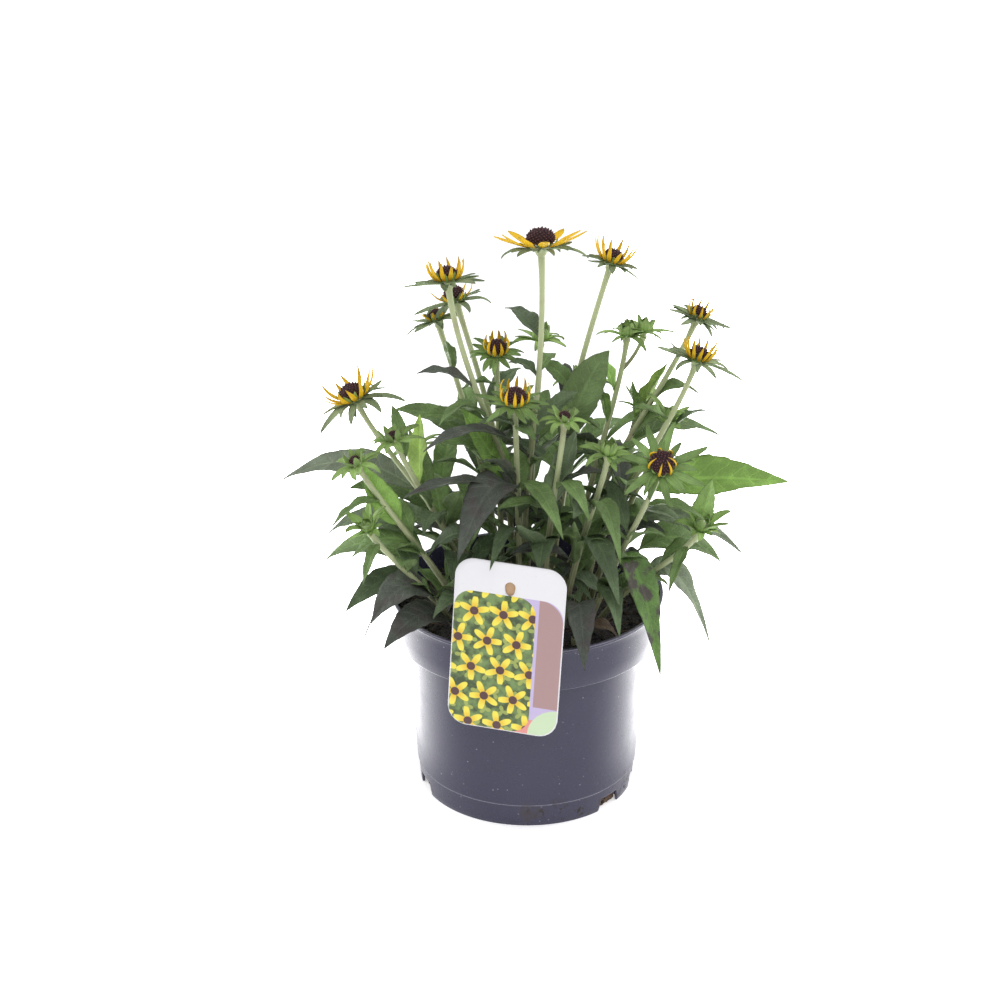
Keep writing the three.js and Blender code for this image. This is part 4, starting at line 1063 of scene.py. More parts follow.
# %% Grow every stem
STEM_RINGS = 44
FOOT_Z = 108.0
LEAF_STALK = 0.06
INNER_LEAVES = 6
STEM_HAIRS = 420
STEM_HAIR_LENGTH = 0.95
NECK_HAIRS = 120
NECK_HAIR_LENGTH = 1.1
BLOOM_DISC_BASE = 1.4
BUD_DISC_BASE = 0.3


def grow(entry, seed):
    """The shapes of one stem with its leaves and green head, and the head's three directions.
    Its radius is the stem's times 1.12 at the foot and 0.9 above, and swells under the head."""
    foot, rise, head, lean, neck, kind, disc, spread, leaves = entry
    foot, head = np.array([*foot, FOOT_Z]), np.array(head, float)
    directions = head_frame(lean)
    axis = directions[2]
    controls = (foot, rise, head - axis * neck, head - axis)
    s = np.linspace(0, 1, STEM_RINGS)
    place, along = cubic(*controls, s)
    radius = STEM_RADIUS * (1.12 - 0.22 * smooth(s, 0, 0.7)) + 0.5 * smooth(s, 0.9, 1.0)
    shapes = [stem_skin(place, along, radius)]
    for number, (share, x, y, z, half_width, arch, roll, tone) in enumerate(leaves):
        root = cubic(*controls, [share])[0][0]
        tip = (x, y, z)
        shapes.append(leaf_skin(root, tip, half_width, arch, roll, LEAF_STALK, tone, seed * 17 + number))
    shapes += inner_leaves(*controls, seed, INNER_LEAVES)
    shapes += green_head(head, directions, kind, disc, spread, seed)
    note_hairs(place, along, radius, STEM_HAIRS, STEM_HAIR_LENGTH, seed)
    note_hairs(place[-10:], along[-10:], radius[-10:], NECK_HAIRS, NECK_HAIR_LENGTH, seed + 400)
    return shapes, directions


def green_piece(name, shapes):
    """The green piece of a stem, in place of its solid."""
    node = f"{name}_stem_and_leaves"
    make_piece(node + "_fine", shapes, [LEAF_FINISH, STEM_FINISH], [node])


for order, entry in enumerate(FLOWERS):
    name = f"flower_{order + 1}"
    shapes, directions = grow(entry, order + 1)
    green_piece(name, shapes)
    head, kind, disc = np.array(entry[2], float), entry[5], entry[6]
    rays = ray_ring(head, directions, kind, disc, order + 1)
    make_piece(f"{name}_rays_fine", [rays], [RAY_FINISH], [f"{name}_rays"])
    florets = disc_dome(head, directions, disc, BLOOM_DISC_BASE, order + 1)
    make_piece(f"{name}_disc_fine", florets, [FLORET_FINISH], [f"{name}_disc"])
print("blooms:", len(FLOWERS))

# %% [markdown]
# Bud stems
#
# They grow in the same way. One of them forks: a thinner side shoot leaves it at about four
# fifths of its length, on a curve with three control points, and carries a head of its own. Three
# others show the dark middle of a bloom that is still to open.

# %% Grow the bud stems
for order, entry in enumerate(BUDS):
    name = f"bud_{order + 1}"
    seed = len(FLOWERS) + order + 1
    shapes, directions = grow(entry, seed)
    if name == "bud_4":
        share, end, lean = SHOOT_OF_BUD_4
        foot, rise, head = np.array([*entry[0], FOOT_Z]), entry[1], np.array(entry[2], float)
        start = cubic(foot, rise, head - directions[2] * entry[4], head - directions[2], [share])[0][0]
        shoot_directions = head_frame(lean)
        end = np.array(end, float)
        bend = end - shoot_directions[2] * 0.5 * np.linalg.norm(end - start)
        place, along = quadratic(start, bend, end - shoot_directions[2], np.linspace(0, 1, 12))
        shapes.append(stem_skin(place, along, np.full(12, 1.2)))
        shapes += green_head(end, shoot_directions, "bud", 3.2, entry[7], seed + 30)
    green_piece(name, shapes)
    if entry[5] == "eyed":
        florets = disc_dome(np.array(entry[2], float), directions, entry[6], BUD_DISC_BASE, seed)
        make_piece(f"{name}_disc_fine", florets, [FLORET_FINISH], [f"{name}_disc"])
print("bud stems:", len(BUDS))

# %% [markdown]
# Leaves from the ground
#
# Lower leaves rise on longer stalks from small crowns at the soil. The ones at the front are
# old: one hangs over the rim with a brown tip, and one has withered on the soil.

# %% Ground leaves
CROWN_Z = 121.0
GROUND_STALK = 0.3
CROWNS = [
    ((28, -46), [(33, -99, 126, 9.5, 34, 0, "plum"), (56, -56, 124, 8, 10, 0, "dry")]),
    ((-20, -46), [(-57, -77, 150, 9, 22, 0, "deep"), (-34, -70, 134, 7, 16, 0, "plum")]),
    ((52, 26), [(124, 36, 132, 13, 26, -20, "mid"), (96, 84, 142, 12, 28, 0, "mid")]),
    ((14, 58), [(52, 96, 138, 13, 26, 0, "mid"), (-14, 98, 142, 12, 26, 0, "deep")]),
    ((-42, 38), [(-66, 92, 138, 13, 26, 0, "mid"), (-110, 70, 146, 12, 26, 0, "deep")]),
    ((-50, 0), [(-128, 26, 138, 12, 26, 25, "mid"), (-112, -34, 132, 9, 22, 25, "deep")]),
]
for order, (foot, leaves) in enumerate(CROWNS):
    low, high = np.array([*foot, FOOT_Z]), np.array([*foot, CROWN_Z])
    s = np.linspace(0, 1, 6)
    place, along = low + s[:, None] * (high - low), np.tile([0.0, 0.0, 1.0], (6, 1))
    shapes = [stem_skin(place, along, 2.0 - 0.5 * s, STEM_FOOT_TONE, STEM_FOOT_TONE)]
    for number, (x, y, z, half_width, arch, roll, tone) in enumerate(leaves):
        root = high - np.array([0, 0, 1.0])
        seed = 600 + 10 * order + number
        shapes.append(leaf_skin(root, (x, y, z), half_width, arch, roll, GROUND_STALK, tone, seed))
    name = f"ground_leaves_{order + 1}"
    make_piece(name + "_fine", shapes, [LEAF_FINISH, STEM_FINISH], [name])
print("crowns:", len(CROWNS))

# %% [markdown]
# Hairs
#
# Rudbeckia stems look pale because of a haze of fine white hairs. Each hair is a three-sided
# needle, six triangles in all, and they make one piece.

# %% Make the hairs
HAIR_RADIUS = 0.06
roots = np.concatenate([h[0] for h in HAIR_ROOTS])
ways = np.concatenate([h[1] for h in HAIR_ROOTS])
lengths = np.concatenate([h[2] for h in HAIR_ROOTS])
needles = pegs(roots, ways, np.full(len(roots), HAIR_RADIUS), lengths, [(1.0, 0.0)], corners=3)
make_piece("stem_hairs", [needles], [HAIR_FINISH])
print("hairs:", len(roots))

# %% [markdown]
# The pot
#
# A nursery pot is one moulded shell: a tapered wall with a stepped collar, a thin lip, a fine
# ring line near its foot, and drain notches cut up into the foot. The wall is its section carried
# round the axis. The section is a list of radii and heights that runs up the outside, over the
# rim and down the inside. Near a notch its whole lower part moves up, so the notch needs no
# cutting, and the floor is a disc of its own.

# %% Pot wall
POT_COLUMNS = 480
FOOT_RADIUS = 68
FOOT_FLARE = 1.25
NOTCH_BEARINGS = (-41, -10.5, 20, 139, 169.5, 200)
NOTCH_HEIGHT = 8.5
NOTCH_REACH = 9.3
NOTCH_SLOPE = 1.8
LINE_Z = 15.0
WALL = [
    (66.9, 0.0), (67.5, 0.0), (67.85, 0.12), (68.05, 0.5), (68.3, 3.5), (68.6, 7.0), (68.95, 11.0),
    (69.2, 14.2), (69.25, 14.7), (69.5, 15.0), (69.8, 15.3), (69.86, 15.9), (69.95, 17.5), (70.8, 33.0),
    (71.9, 53.0), (73.0, 75.0), (74.2, 97.0), (74.4, 99.8), (74.6, 100.6), (75.3, 101.0), (78.5, 101.8),
    (81.4, 102.35), (82.1, 102.65), (82.4, 103.3), (83.1, 112.0), (84.1, 124.5), (84.4, 128.3),
    (84.55, 128.75), (84.85, 129.0), (85.0, 129.4), (85.0, 130.5), (84.85, 130.9), (84.5, 131.0),
    (83.3, 131.0), (83.0, 130.85), (82.85, 130.4), (82.4, 125.0), (80.9, 106.0), (80.7, 104.8),
    (80.3, 104.2), (79.4, 103.9), (74.2, 102.8), (73.1, 102.4), (72.8, 101.6), (71.5, 78.0), (69.4, 45.0),
    (67.6, 15.0), (66.9, 6.0), (66.5, 3.0), (66.4, 0.6), (66.5, 0.15),
]


def notch_rise(bearing):
    """How far the foot's edge is raised at a bearing: the notch's height up to 7.5 mm from the
    middle of the nearest notch, falling to nothing over the next 1.8 mm."""
    away = (bearing[:, None] - np.array(NOTCH_BEARINGS) + 180) % 360 - 180
    run = np.abs(np.radians(away)).min(1) * FOOT_RADIUS
    return NOTCH_HEIGHT * np.clip((NOTCH_REACH - run) / NOTCH_SLOPE, 0, 1)


bearing = 360 * np.arange(POT_COLUMNS) / POT_COLUMNS
rise = notch_rise(bearing)
section_r, section_z = np.array(WALL).T
z = section_z[:, None] + rise * np.clip(1 - section_z[:, None] / LINE_Z, 0, 1)
r = section_r[:, None] + (z - section_z[:, None]) * (FOOT_FLARE / LINE_Z)
turn = np.radians(bearing)
wall = hoop(np.stack([r * np.cos(turn), r * np.sin(turn), z], -1))
print("pot wall:", len(wall["faces"]), "triangles")

# %% Pot floor
FLOOR_RADIUS = 66.7
NOTCH_SETBACK = 6.5
rim = FLOOR_RADIUS - NOTCH_SETBACK * (rise > 0.5 * NOTCH_HEIGHT)
floor_r = np.stack([0.02 * rim, 0.5 * rim, rim - 0.2, rim, rim, rim - 0.2, 0.5 * rim, 0.02 * rim])
floor_z = np.array([4.0, 4.0, 4.0, 4.2, 5.4, 5.6, 5.6, 5.6])[:, None] + 0 * rim
disc_rings = np.stack([floor_r * np.cos(turn), floor_r * np.sin(turn), floor_z], -1)
pot_floor = skins(disc_rings[None])
print("pot floor:", len(pot_floor["faces"]), "triangles")

# %% [markdown]
# Plastic finish
#
# The plastic is dark slate with a hint of violet and a soft gloss. Dust leaves fine pale specks,
# and dried water and soil leave brown smudges near the foot.

# %% Pot finish
# Heights in mm of the collar's foot, the foot's ring line and the lip, where a pale line is painted on as a
# highlight.
PAINTED_HIGHLIGHT_EDGES = (102.5, 15.3, 130.6)


def pot_finish():
    """Two near shades of slate violet, with a painted highlight line along each of three edges, and
    specks of dust from a cell pattern. Smudges and lumps of soil fade out upwards and are rougher than the
    plastic."""
    pot = Finish("pot_plastic", 0.3, Specular_IOR_Level=0.5, IOR=1.5)
    height = pot.axis("Z")
    low = pot.ramp(height, 0.004, 0.030, 1.0, 0.0)
    body = pot.mix(pot.noise(30, 3.0), (0.024, 0.022, 0.052), (0.032, 0.030, 0.066))
    for edge_height in PAINTED_HIGHLIGHT_EDGES:
        away = pot.sum("ABSOLUTE", pot.sum("SUBTRACT", height, edge_height * MM))
        # Painted highlight: a pale band up to 0.6 mm either side of the edge, mixed in by half, stands in for
        # the light the edge catches.
        painted_highlight = pot.ramp(away, 0.0002, 0.0006, 0.5, 0.0)
        body = pot.mix(painted_highlight, body, (0.26, 0.25, 0.31))
    chosen = pot.ramp(pot.noise(60, 2.0), 0.42, 0.6, 0.0, 0.7)
    specks = pot.sum("MULTIPLY", pot.ramp(pot.cells(210), 0.07, 0.12, 1.0, 0.0), chosen)
    dusty = pot.mix(specks, body, (0.30, 0.29, 0.34))
    smear = pot.sum("MULTIPLY", pot.ramp(pot.noise(48, 5.0, 0.65), 0.55, 0.72), low)
    soiled = pot.mix(pot.sum("MULTIPLY", smear, 0.7), dusty, (0.045, 0.032, 0.026))
    lumps = pot.ramp(pot.noise(230, 3.0, 0.6), 0.56, 0.60)
    clotted = pot.sum("MULTIPLY", lumps, pot.ramp(pot.noise(42, 3.0), 0.52, 0.62))
    clotted = pot.sum("MULTIPLY", clotted, pot.ramp(height, 0.006, 0.024, 1.0, 0.0))
    colour = pot.mix(clotted, soiled, (0.022, 0.014, 0.010))
    worn = pot.ramp(pot.noise(90, 4.0), 0.35, 0.7, 0.22, 0.30)
    rough = pot.sum("ADD", worn, pot.sum("MULTIPLY", pot.sum("MAXIMUM", smear, clotted), 0.4))
    pot.bump(pot.sum("ADD", pot.noise(160, 2.0), pot.sum("MULTIPLY", clotted, 2.0)), 0.0002, 0.12)
    return pot.paint(colour, rough)


POT_FINISH = pot_finish()
make_piece("pot_shell", [wall, pot_floor], [POT_FINISH], ["pot"])

# %% [markdown]
# The soil
#
# Potting soil is peat: a dark, uneven surface with crumbs of every size and fibres lying on it.
# The body follows the inside of the pot. Its top is a sum of sine waves in many directions, which
# has no pattern that the eye finds, and the same formula later gives the height that crumbs and
# fibres lie at.

# %% Soil surface
SOIL_EDGE = 80.9
SOIL_CORNERS = 180


def rough_ground(x, y, size, seed, waves=26):
    """A sum of sine waves with random directions and phases and wavelengths near size."""
    draws = np.random.default_rng(seed)
    way, phase = draws.uniform(0, 2 * np.pi, (2, waves))
    pitch = 2 * np.pi / (size * draws.uniform(0.5, 1.8, waves))
    run = x[..., None] * np.cos(way) + y[..., None] * np.sin(way)
    return np.sin(run * pitch + phase).sum(-1) / math.sqrt(waves)


def soil_height(x, y):
    """The top of the soil: highest in the middle, low at the pot's wall, and uneven."""
    away = np.hypot(x, y) / SOIL_EDGE
    return 117.4 - 2.3 * away**3 + 0.8 * rough_ground(x, y, 22, 5) + 0.35 * rough_ground(x, y, 4, 6)


turn = 2 * np.pi * np.arange(SOIL_CORNERS) / SOIL_CORNERS
side_r = np.array([66.0, 66.0, 66.2, 66.6, 69.4, 72.2, 72.6, 80.2, 80.6])
side_z = np.array([5.9, 7.0, 9.0, 12.0, 60.0, 101.0, 102.6, 104.2, 110.0])
top_r = np.concatenate([np.linspace(SOIL_EDGE, 4, 64), [2.0]])
r = np.concatenate([side_r, top_r])[:, None] * np.ones(SOIL_CORNERS)
x, y = r * np.cos(turn), r * np.sin(turn)
z = np.concatenate([side_z[:, None] + 0 * turn, soil_height(x[len(side_r):], y[len(side_r):])])
soil_body = skins(np.stack([x, y, z], -1)[None], across=0.5)
print("soil body:", len(soil_body["faces"]), "triangles")

# %% [markdown]
# Crumbs
#
# Each crumb is a small peg with a wide middle, half sunk in the soil and leaning any way. The
# cube of a draw sets its size, so that most are small and a few are large, and every point is
# moved a little to break the regular outline.

# %% Crumbs
CRUMBS = 1500
CRUMB_PROFILE = [(0.5, 0.0), (1.0, 0.35), (0.75, 0.8)]
draws = np.random.default_rng(11)
away = SOIL_EDGE * np.sqrt(draws.random(CRUMBS)) * 0.985
turn = draws.uniform(0, 2 * np.pi, CRUMBS)
x, y = away * np.cos(turn), away * np.sin(turn)
size = 0.5 + 1.5 * draws.random(CRUMBS) ** 3
feet = np.stack([x, y, soil_height(x, y) - 0.5 * size], -1)
ways = unit(draws.normal(0, 0.5, (CRUMBS, 3)) + [0, 0, 1.0])
lumps = pegs(feet, ways, size, 1.7 * size, CRUMB_PROFILE, across=draws.random((CRUMBS, 1, 1)))
crumb_jitter = draws.normal(0, 0.12, lumps["points"].shape)
lumps["points"] = lumps["points"] + crumb_jitter
print("crumbs:", CRUMBS)

# %% [markdown]
# Soil behind the drain notches
#
# Through each notch in the foot a little soil shows. A lumpy plug stands behind the opening: a
# bulging section carried a few degrees round the axis, with loose clods about its foot. All of
# it ends inside the wall, so that nothing sticks out of the pot.

# %% Clods and plugs behind the notches
NOTCH_CLODS = 30
PLUG_HALF_ANGLE = 8.8
clods = len(NOTCH_BEARINGS) * NOTCH_CLODS
turn = np.radians(np.repeat(NOTCH_BEARINGS, NOTCH_CLODS) + draws.uniform(-6.5, 6.5, clods))
away = draws.uniform(60.5, 65.6, clods)
size = draws.uniform(0.5, 1.3, clods)
feet = np.stack([away * np.cos(turn), away * np.sin(turn), draws.uniform(1.0, 5.5, clods)], -1)
ways = unit(draws.normal(0, 0.5, (clods, 3)) + [0, 0, 1.0])
notch_clods = pegs(feet, ways, size, 1.6 * size, CRUMB_PROFILE, across=draws.random((clods, 1, 1)))

plug_run = np.linspace(-PLUG_HALF_ANGLE, PLUG_HALF_ANGLE, 31)
plug_turn = np.radians(np.array(NOTCH_BEARINGS)[:, None] + plug_run)[:, :, None]
plug_r = np.array([60.6, 62.5, 64.6, 65.4, 65.5, 65.4, 64.6, 62.5, 60.6, 60.4])
plug_z = np.array([0.5, 0.4, 0.5, 1.0, 3.5, 7.0, 8.0, 8.3, 8.2, 4.0])
lumpy = rough_ground(plug_turn * 66, plug_z + 0 * plug_turn, 2.5, 8)
plug_reach = plug_r - 0.35 + 0.35 * lumpy * (plug_r > 61)
plug_x, plug_y = plug_reach * np.cos(plug_turn), plug_reach * np.sin(plug_turn)
notch_soil = skins(np.stack([plug_x, plug_y, plug_z + 0 * plug_turn], -1), across=0.9, along=0.75)
print("clods behind the notches:", clods)

# %% [markdown]
# Fibres
#
# Peat holds pale fibres that lie across the crumbs. Each is a thin four-sided strand along a line
# whose heading turns as it runs. The line follows the soil's top and arches a little above it.

# %% Fibres
FIBRES = 170
start_r = 76 * np.sqrt(draws.random(FIBRES))
start_turn, way = draws.uniform(0, 2 * np.pi, (2, FIBRES))
s = np.linspace(0, 1, 7)
run = draws.uniform(4, 15, FIBRES)[:, None] * s
bend = way[:, None] + draws.normal(0, 0.9, (FIBRES, 1)) * s
x = (start_r * np.cos(start_turn))[:, None] + run * np.cos(bend)
y = (start_r * np.sin(start_turn))[:, None] + run * np.sin(bend)
shrink = np.minimum(1, 79 / np.hypot(x, y))
x, y = x * shrink, y * shrink
lie = soil_height(x, y) + 0.35 + 1.4 * np.sin(np.pi * s) * draws.random((FIBRES, 1))
line = np.stack([x, y, lie], -1)
along = unit(np.gradient(line, axis=1))
side = unit(np.cross(along, [0, 0, 1.0]))
over = np.cross(side, along)
corner = 2 * np.pi * np.arange(4) / 4
ring = np.cos(corner)[:, None] * side[:, :, None] + np.sin(corner)[:, None] * over[:, :, None]
thick = 0.16 + 0.22 * draws.random(FIBRES)
strands = skins(line[:, :, None] + thick[:, None, None, None] * ring, across=draws.random((FIBRES, 1, 1)),
                along=1.0)
print("fibres:", FIBRES)

# %% [markdown]
# Soil finish
#
# Moist peat is nearly black, with browner crumbs and pale fibres. One material serves all of it,
# since every shape carries values that say how brown and how pale it is.

# %% Soil finish
def soil_finish():
    """Nearly black earth, lighter on its grains. A high across value makes a shape browner,
    and its along value mixes in the pale brown of fibres."""
    soil = Finish("potting_soil", 0.9)
    grain = soil.noise(650, 4.0, 0.6)
    earth = soil.mix(soil.ramp(grain, 0.35, 0.7), (0.011, 0.009, 0.010), (0.042, 0.034, 0.032))
    tinted = soil.mix(soil.ramp(soil.attribute("across"), 0.55, 1.0, 0.0, 0.5), earth, (0.075, 0.042, 0.024))
    colour = soil.mix(soil.sum("MULTIPLY", soil.attribute("along"), 0.8), tinted, (0.15, 0.085, 0.045))
    soil.bump(grain, 0.0012, 0.9)
    return soil.paint(colour, soil.ramp(grain, 0.3, 0.7, 0.95, 0.75))


SOIL_FINISH = soil_finish()
make_piece("soil_fine", [soil_body], [SOIL_FINISH], ["soil"])
make_piece("soil_crumbs", [lumps, notch_clods, notch_soil, strands], [SOIL_FINISH])
print("soil pieces made")

# %% [markdown]
# The plant label
#
# The label is a thin printed plastic card with rounded corners that leans on the rim. The print
# is a generic pattern, worked out from the card's own coordinates by nodes, so it stays crisp at
# any distance. The card's face is a fan of rings from the hanging hole out to its outline.

# %% Label card
CARD = dict(width=68.0, height=108.0, corner=12.0, thick=1.0, turn=-2.1, lean=5.0, facing=-14.6)
CARD_PLACE = np.array([-13.0, -84.6, 134.3])
PUNCH = np.array([0.0, 39.0])
CARD_RAYS = 240


def on_card(x, y, depth):
    """Points of the card's own plane, and depth in front of its back, as points of the frame:
    turned in its plane, stood upright, leaned back, faced to the left, and moved into place."""
    a, b, c = (math.radians(CARD[name]) for name in ("turn", "lean", "facing"))
    right, up = x * math.cos(a) - y * math.sin(a), x * math.sin(a) + y * math.cos(a)
    inward = -depth * math.cos(b) + up * math.sin(b)
    rise = depth * math.sin(b) + up * math.cos(b)
    turned = [right * math.cos(c) - inward * math.sin(c), right * math.sin(c) + inward * math.cos(c)]
    return np.stack([*turned, rise], -1) + CARD_PLACE


def card_outline(way, shrink=0.0):
    """Distance from the punched hole's centre to the card's rounded outline in each direction,
    by halving the span until the signed distance to a rounded rectangle is nothing."""
    low, high = np.zeros_like(way), np.full_like(way, 120.0)
    half = np.array([CARD["width"], CARD["height"]]) / 2 - shrink
    corner = CARD["corner"] - shrink
    for _ in range(30):
        middle = (low + high) / 2
        point = PUNCH + middle[:, None] * np.stack([np.cos(way), np.sin(way)], -1)
        beyond = np.abs(point) - half + corner
        gap = np.linalg.norm(np.maximum(beyond, 0), axis=1) + np.minimum(beyond.max(1), 0) - corner
        low, high = np.where(gap < 0, middle, low), np.where(gap < 0, high, middle)
    return low


way = 2 * np.pi * np.arange(CARD_RAYS) / CARD_RAYS
hole = 3.2 * (1 + 0.7 * np.maximum(0, -np.sin(way)) ** 3)
full, inset = card_outline(way), card_outline(way, 0.3)
thick = CARD["thick"]
share = np.linspace(0, 1, 9)[:, None]
front = (hole + 0.2) * (1 - share) + inset * share
reach = np.concatenate([front, full[None], full[None], front[::-1], hole[None], hole[None]])
depth = np.concatenate([np.full(9, thick), [thick - 0.3, 0.3], np.zeros(9), [0.2, thick - 0.2]])
x = PUNCH[0] + reach * np.cos(way)
y = PUNCH[1] + reach * np.sin(way)
card = hoop(on_card(x, y, np.broadcast_to(depth[:, None], x.shape)))
card["across"], card["along"] = x.ravel(), y.ravel()
card["under"] = np.repeat((depth < thick - 0.25).astype(float), CARD_RAYS)
print("label card:", len(card["faces"]), "triangles")

# %% [markdown]
# The print
#
# A colour print is flat, so it is colour and not relief. A rounded panel on the left has plain
# yellow five-petalled flowers in a staggered grid on green. The column on its right is rose brown
# and lilac, red at its foot, with a pale green quarter disc in the corner. The top stays white.

# %% Label finish
PRINT_SIDE = 33.4
PRINT_TOP = 33.6
PRINT_FOOT = -53.4
PICTURE_RIGHT = 16.5
ROSE_LEFT = 18.4
ROSE_FOOT = -35.4
RED_TOP = -44.1
QUARTER_RADIUS = 18.0
SOFT = 0.1


def panel(nodes, x, y, left, right, low, high, corner):
    """1 inside a rounded rectangle and 0 outside it: the length of how far a point lies beyond
    the rectangle between the corners' centres, less the corner's radius, is its distance."""
    off_x = nodes.sum("ABSOLUTE", nodes.sum("SUBTRACT", x, (left + right) / 2))
    off_y = nodes.sum("ABSOLUTE", nodes.sum("SUBTRACT", y, (low + high) / 2))
    beyond_x = nodes.sum("MAXIMUM", nodes.sum("SUBTRACT", off_x, (right - left) / 2 - corner), 0.0)
    beyond_y = nodes.sum("MAXIMUM", nodes.sum("SUBTRACT", off_y, (high - low) / 2 - corner), 0.0)
    return nodes.ramp(nodes.length(beyond_x, beyond_y), corner - 0.12, corner + 0.12, 1.0, 0.0)


def flower_grid(nodes, x, y, pitch, shift_x, shift_y, petals, size):
    """Masks of petals and middles on a staggered grid: each cell's own polar coordinates, with a
    petal outline of size times (0.64 + 0.36 times the cosine of petals times the angle)."""
    up = nodes.sum("DIVIDE", nodes.sum("ADD", y, shift_y), pitch)
    row = nodes.sum("FLOOR", up)
    stagger = nodes.sum("MULTIPLY", nodes.sum("FRACT", nodes.sum("MULTIPLY", row, 0.5)), pitch)
    across = nodes.sum("ADD", nodes.sum("ADD", x, shift_x), stagger)
    cell_x = nodes.sum("SUBTRACT", nodes.sum("FRACT", nodes.sum("DIVIDE", across, pitch)), 0.5)
    cell_y = nodes.sum("SUBTRACT", nodes.sum("FRACT", up), 0.5)
    angle = nodes.sum("ARCTAN2", cell_y, cell_x)
    radius = nodes.length(cell_x, cell_y)
    lobes = nodes.sum("COSINE", nodes.sum("MULTIPLY", nodes.sum("ADD", angle, row), petals))
    outline = nodes.sum("MULTIPLY_ADD", lobes, 0.36 * size, 0.64 * size)
    petal = nodes.ramp(nodes.sum("SUBTRACT", outline, radius), -0.01, 0.015)
    middle = nodes.ramp(radius, 0.25 * size, 0.29 * size, 1.0, 0.0)
    return petal, middle, radius


def label_finish():
    """The print, from the card's own x and y in millimetres: the picture's panel over the
    coloured column on white. Where the under value is 1 the card is white, and faint scuffs
    lie over all of it."""
    card_print = Finish("label_card", 0.35)
    x, y = card_print.attribute("across"), card_print.attribute("along")
    cloud = card_print.ramp(card_print.noise(160, 3.0), 0.35, 0.65)
    green = card_print.mix(cloud, (0.050, 0.075, 0.025), (0.170, 0.260, 0.085))
    small, _, _ = flower_grid(card_print, x, y, 11.0, 5.5, 3.0, 3, 0.36)
    picture = card_print.mix(card_print.sum("MULTIPLY", small, 0.8), green, (0.36, 0.42, 0.10))
    large, eye, radius = flower_grid(card_print, x, y, 18.0, 3.0, 6.0, 5, 0.55)
    yellow = card_print.mix(card_print.ramp(radius, 0.14, 0.42), (0.76, 0.50, 0.03), (0.83, 0.71, 0.08))
    picture = card_print.mix(large, picture, yellow)
    picture = card_print.mix(eye, picture, (0.085, 0.035, 0.035))
    white = (0.74, 0.73, 0.75)
    rose, lilac = (0.390, 0.245, 0.240), (0.52, 0.44, 0.66)
    below = card_print.ramp(y, RED_TOP - SOFT, RED_TOP + SOFT, 1.0, 0.0)
    side = card_print.mix(below, lilac, (0.72, 0.27, 0.24))
    rose_area = panel(card_print, x, y, -10.0, PRINT_SIDE, -70.0, PRINT_TOP, 14.0)
    right_of = card_print.ramp(x, ROSE_LEFT - SOFT, ROSE_LEFT + SOFT)
    above = card_print.ramp(y, ROSE_FOOT - SOFT, ROSE_FOOT + SOFT)
    rose_area = card_print.sum("MULTIPLY", card_print.sum("MULTIPLY", rose_area, right_of), above)
    side = card_print.mix(rose_area, side, rose)
    corner_x = card_print.sum("SUBTRACT", x, CARD["width"] / 2)
    corner_y = card_print.sum("ADD", y, CARD["height"] / 2)
    away = card_print.length(corner_x, corner_y)
    quarter = card_print.ramp(away, QUARTER_RADIUS - SOFT, QUARTER_RADIUS + SOFT, 1.0, 0.0)
    side = card_print.mix(quarter, side, (0.55, 0.68, 0.45))
    column = panel(card_print, x, y, -30.0, PRINT_SIDE, PRINT_FOOT, PRINT_TOP, 12.0)
    face = card_print.mix(column, white, side)
    left_panel = panel(card_print, x, y, -PRINT_SIDE, PICTURE_RIGHT, PRINT_FOOT, PRINT_TOP, 11.0)
    face = card_print.mix(left_panel, face, picture)
    scuffs = card_print.ramp(card_print.noise(420, 2.0), 0.66, 0.72, 0.0, 0.10)
    back = card_print.mix(card_print.attribute("under"), face, white)
    colour = card_print.mix(scuffs, back, (0.30, 0.27, 0.25))
    card_print.bump(card_print.noise(120, 2.0), 0.0002, 0.2)
    return card_print.paint(colour, card_print.ramp(card_print.noise(200), 0.3, 0.7, 0.30, 0.42))


LABEL_FINISH = label_finish()
print("made:", LABEL_FINISH.name)

# %% [markdown]
# The stake and its hook
#
# The card hangs on a flat plastic stake that runs down inside the rim. The stake's hook reaches
# forward over the rim to the back of the card, and its head, in tan plastic, shows through the
# drop-shaped hole.

# %% Stake and hook
STAKE_PLACE = (-13.0, -76.9)
STAKE_THICKNESS = 1.2


def plate(outline_x, outline_y, depths, place):
    """A flat plate: its outline repeated at each depth, slightly smaller at the two faces, with
    place giving the frame's points for x, y and depth."""
    grow = np.array([0.93, 1.0, 1.0, 0.93])[:, None]
    middle_x, middle_y = outline_x.mean(), outline_y.mean()
    x = middle_x + (outline_x - middle_x) * grow
    y = middle_y + (outline_y - middle_y) * grow
    return skins(place(x, y, np.broadcast_to(np.asarray(depths)[:, None], x.shape))[None])


def upright(x, y, depth):
    """Points of the stake, which stands upright inside the rim and faces as the card does."""
    c = math.radians(CARD["facing"])
    forward = STAKE_THICKNESS / 2 - depth
    right = x * math.cos(c) - forward * math.sin(c) + STAKE_PLACE[0]
    inward = x * math.sin(c) + forward * math.cos(c) + STAKE_PLACE[1]
    return np.stack([right, inward, y], -1)


stake_x = np.array([-5, -5, -4.4, 0, 4.4, 5, 5, 4.4, 0, -4.4], float)
stake_y = np.array([120, 174.5, 176, 176, 176, 174.5, 120, 112, 108, 112], float)
stake = plate(stake_x, stake_y, [0, 0.2, 1.0, 1.2], upright)
way = 2 * np.pi * np.arange(36) / 36
tab_reach = 4.4 * (1 + 0.6 * np.maximum(0, -np.sin(way)) ** 3)
tab = plate(PUNCH[0] + tab_reach * np.cos(way), PUNCH[1] + tab_reach * np.sin(way),
            [-0.75, -0.65, -0.2, -0.1], on_card)
hook_x = np.array([-4, -4, -3.4, 3.4, 4, 4, 3.4, -3.4])
hook_y = np.array([27.4, 35.2, 35.8, 35.8, 35.2, 27.4, 26.8, 26.8])
hook = plate(hook_x, hook_y, [-5.1, -4.7, -0.6, -0.5], on_card)


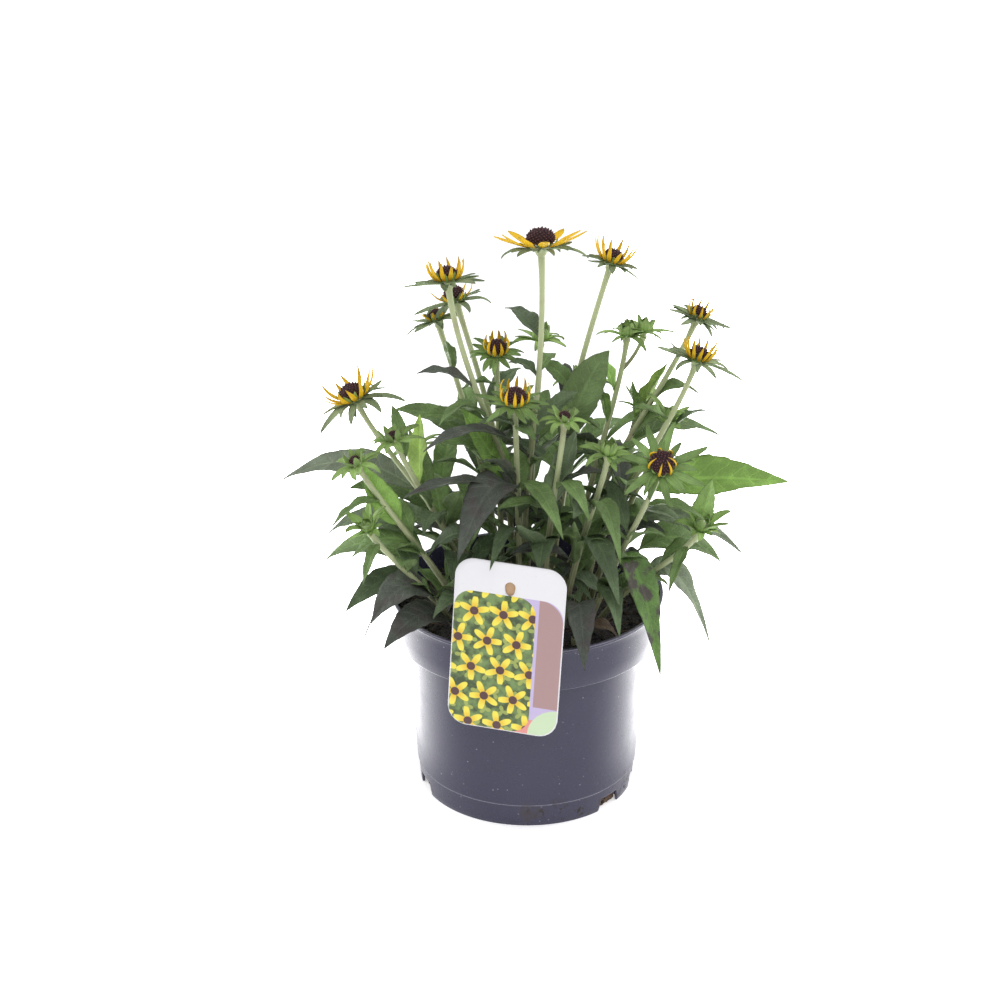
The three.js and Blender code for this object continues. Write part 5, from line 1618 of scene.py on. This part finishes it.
def tab_finish():
    """Tan plastic with faint clouds and a fine grain."""
    tan = Finish("stake_plastic", 0.5)
    colour = tan.mix(tan.noise(300, 3.0), (0.36, 0.22, 0.12), (0.50, 0.33, 0.19))
    tan.bump(tan.noise(900), 0.0002, 0.3)
    return tan.paint(colour)


make_piece("label_card_fine", [card], [LABEL_FINISH], ["plant_label"])
make_piece("label_stake", [stake, tab, hook], [tab_finish()], ["plant_label"])
print("label pieces made")

# %% [markdown]
# Floor and light
#
# Seen from above, the sides of a pot mirror the floor and not the lamps. The plain pale floor is
# therefore a light table: white acrylic that glows a little everywhere and strongly on both
# sides of the pot, which draws the bright edges down its sides and leaves its front dark. An
# even pale surround and three soft lights do the rest.

# %% Floor
EVEN_GLOW = 0.42
SIDE_GLOW = 4.0


def floor_finish():
    """A glow of 0.42 everywhere, and up to 4 more in a band on each side: it rises from 7 to
    12 cm off the axis, fades out by 50 cm, and grows from front to back."""
    pale = Finish("floor", 0.6)
    side = pale.sum("ABSOLUTE", pale.axis("X"))
    glow = pale.sum("MULTIPLY", pale.ramp(side, 0.07, 0.12), pale.ramp(side, 0.16, 0.5, 1.0, 0.0))
    glow = pale.sum("MULTIPLY", glow, pale.ramp(pale.axis("Y"), -0.10, 0.12))
    glow = pale.sum("MULTIPLY_ADD", glow, SIDE_GLOW, EVEN_GLOW)
    pale.shader.inputs["Emission Color"].default_value = (1.0, 1.0, 1.0, 1.0)
    pale.join(glow, pale.shader.inputs["Emission Strength"])
    return pale.paint(pale.mix(pale.noise(3.0), (0.86, 0.86, 0.87), (0.90, 0.90, 0.90)))


floor_mesh = bpy.data.meshes.new("floor")
floor_mesh.from_pydata([(-4, -4, 0), (4, -4, 0), (4, 6, 0), (-4, 6, 0)], [], [(0, 1, 2, 3)])
floor_mesh.materials.append(floor_finish())
floor = bpy.data.objects.new("floor", floor_mesh)
bpy.context.scene.collection.objects.link(floor)
floor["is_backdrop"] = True
print("floor made")

# %% [markdown]
# Light
#
# Daylight indoors comes from all round, so a pale surround fills the shadows. Two upright soft
# lights, a little behind the plant on either side, draw its edges, and a wide one above the
# camera lights the leaves and the front of the pot.

# %% Lights
world = bpy.data.worlds.new("surround")
world.use_nodes = True
world.node_tree.nodes["Background"].inputs["Color"].default_value = (0.97, 0.975, 1.0, 1.0)
world.node_tree.nodes["Background"].inputs["Strength"].default_value = 0.72
bpy.context.scene.world = world


def soft_light(name, place, target, width, height, watts):
    """A rectangular light at place that faces target."""
    data = bpy.data.lights.new(name, "AREA")
    data.shape = "RECTANGLE"
    data.size, data.size_y, data.energy = width, height, watts
    light = bpy.data.objects.new(name, data)
    light.location = place
    light.rotation_euler = (Vector(place) - Vector(target)).to_track_quat("Z", "Y").to_euler()
    bpy.context.scene.collection.objects.link(light)


soft_light("left_edge", (-1.0, 0.4, 0.6), (0, 0, 0.2), 0.6, 0.9, 7)
soft_light("right_edge", (1.0, 0.4, 0.6), (0, 0, 0.2), 0.6, 0.9, 7)
soft_light("above_camera", (0.2, -1.2, 1.5), (0, 0, 0.2), 1.2, 0.8, 9)

# %% [markdown]
# Sizes
#
# The box round the finished plant is printed in millimetres, with the count of triangles and the largest
# piece. The finished plant must stay inside the solids' box.

# %% Print the box and the triangle count
bpy.context.view_layer.update()
low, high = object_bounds()
print("visual", [round(v * 1000, 1) for v in (*low, *high)])
print("triangles:", sum(PIECE_SIZES.values()), "largest:", max(PIECE_SIZES, key=PIECE_SIZES.get))
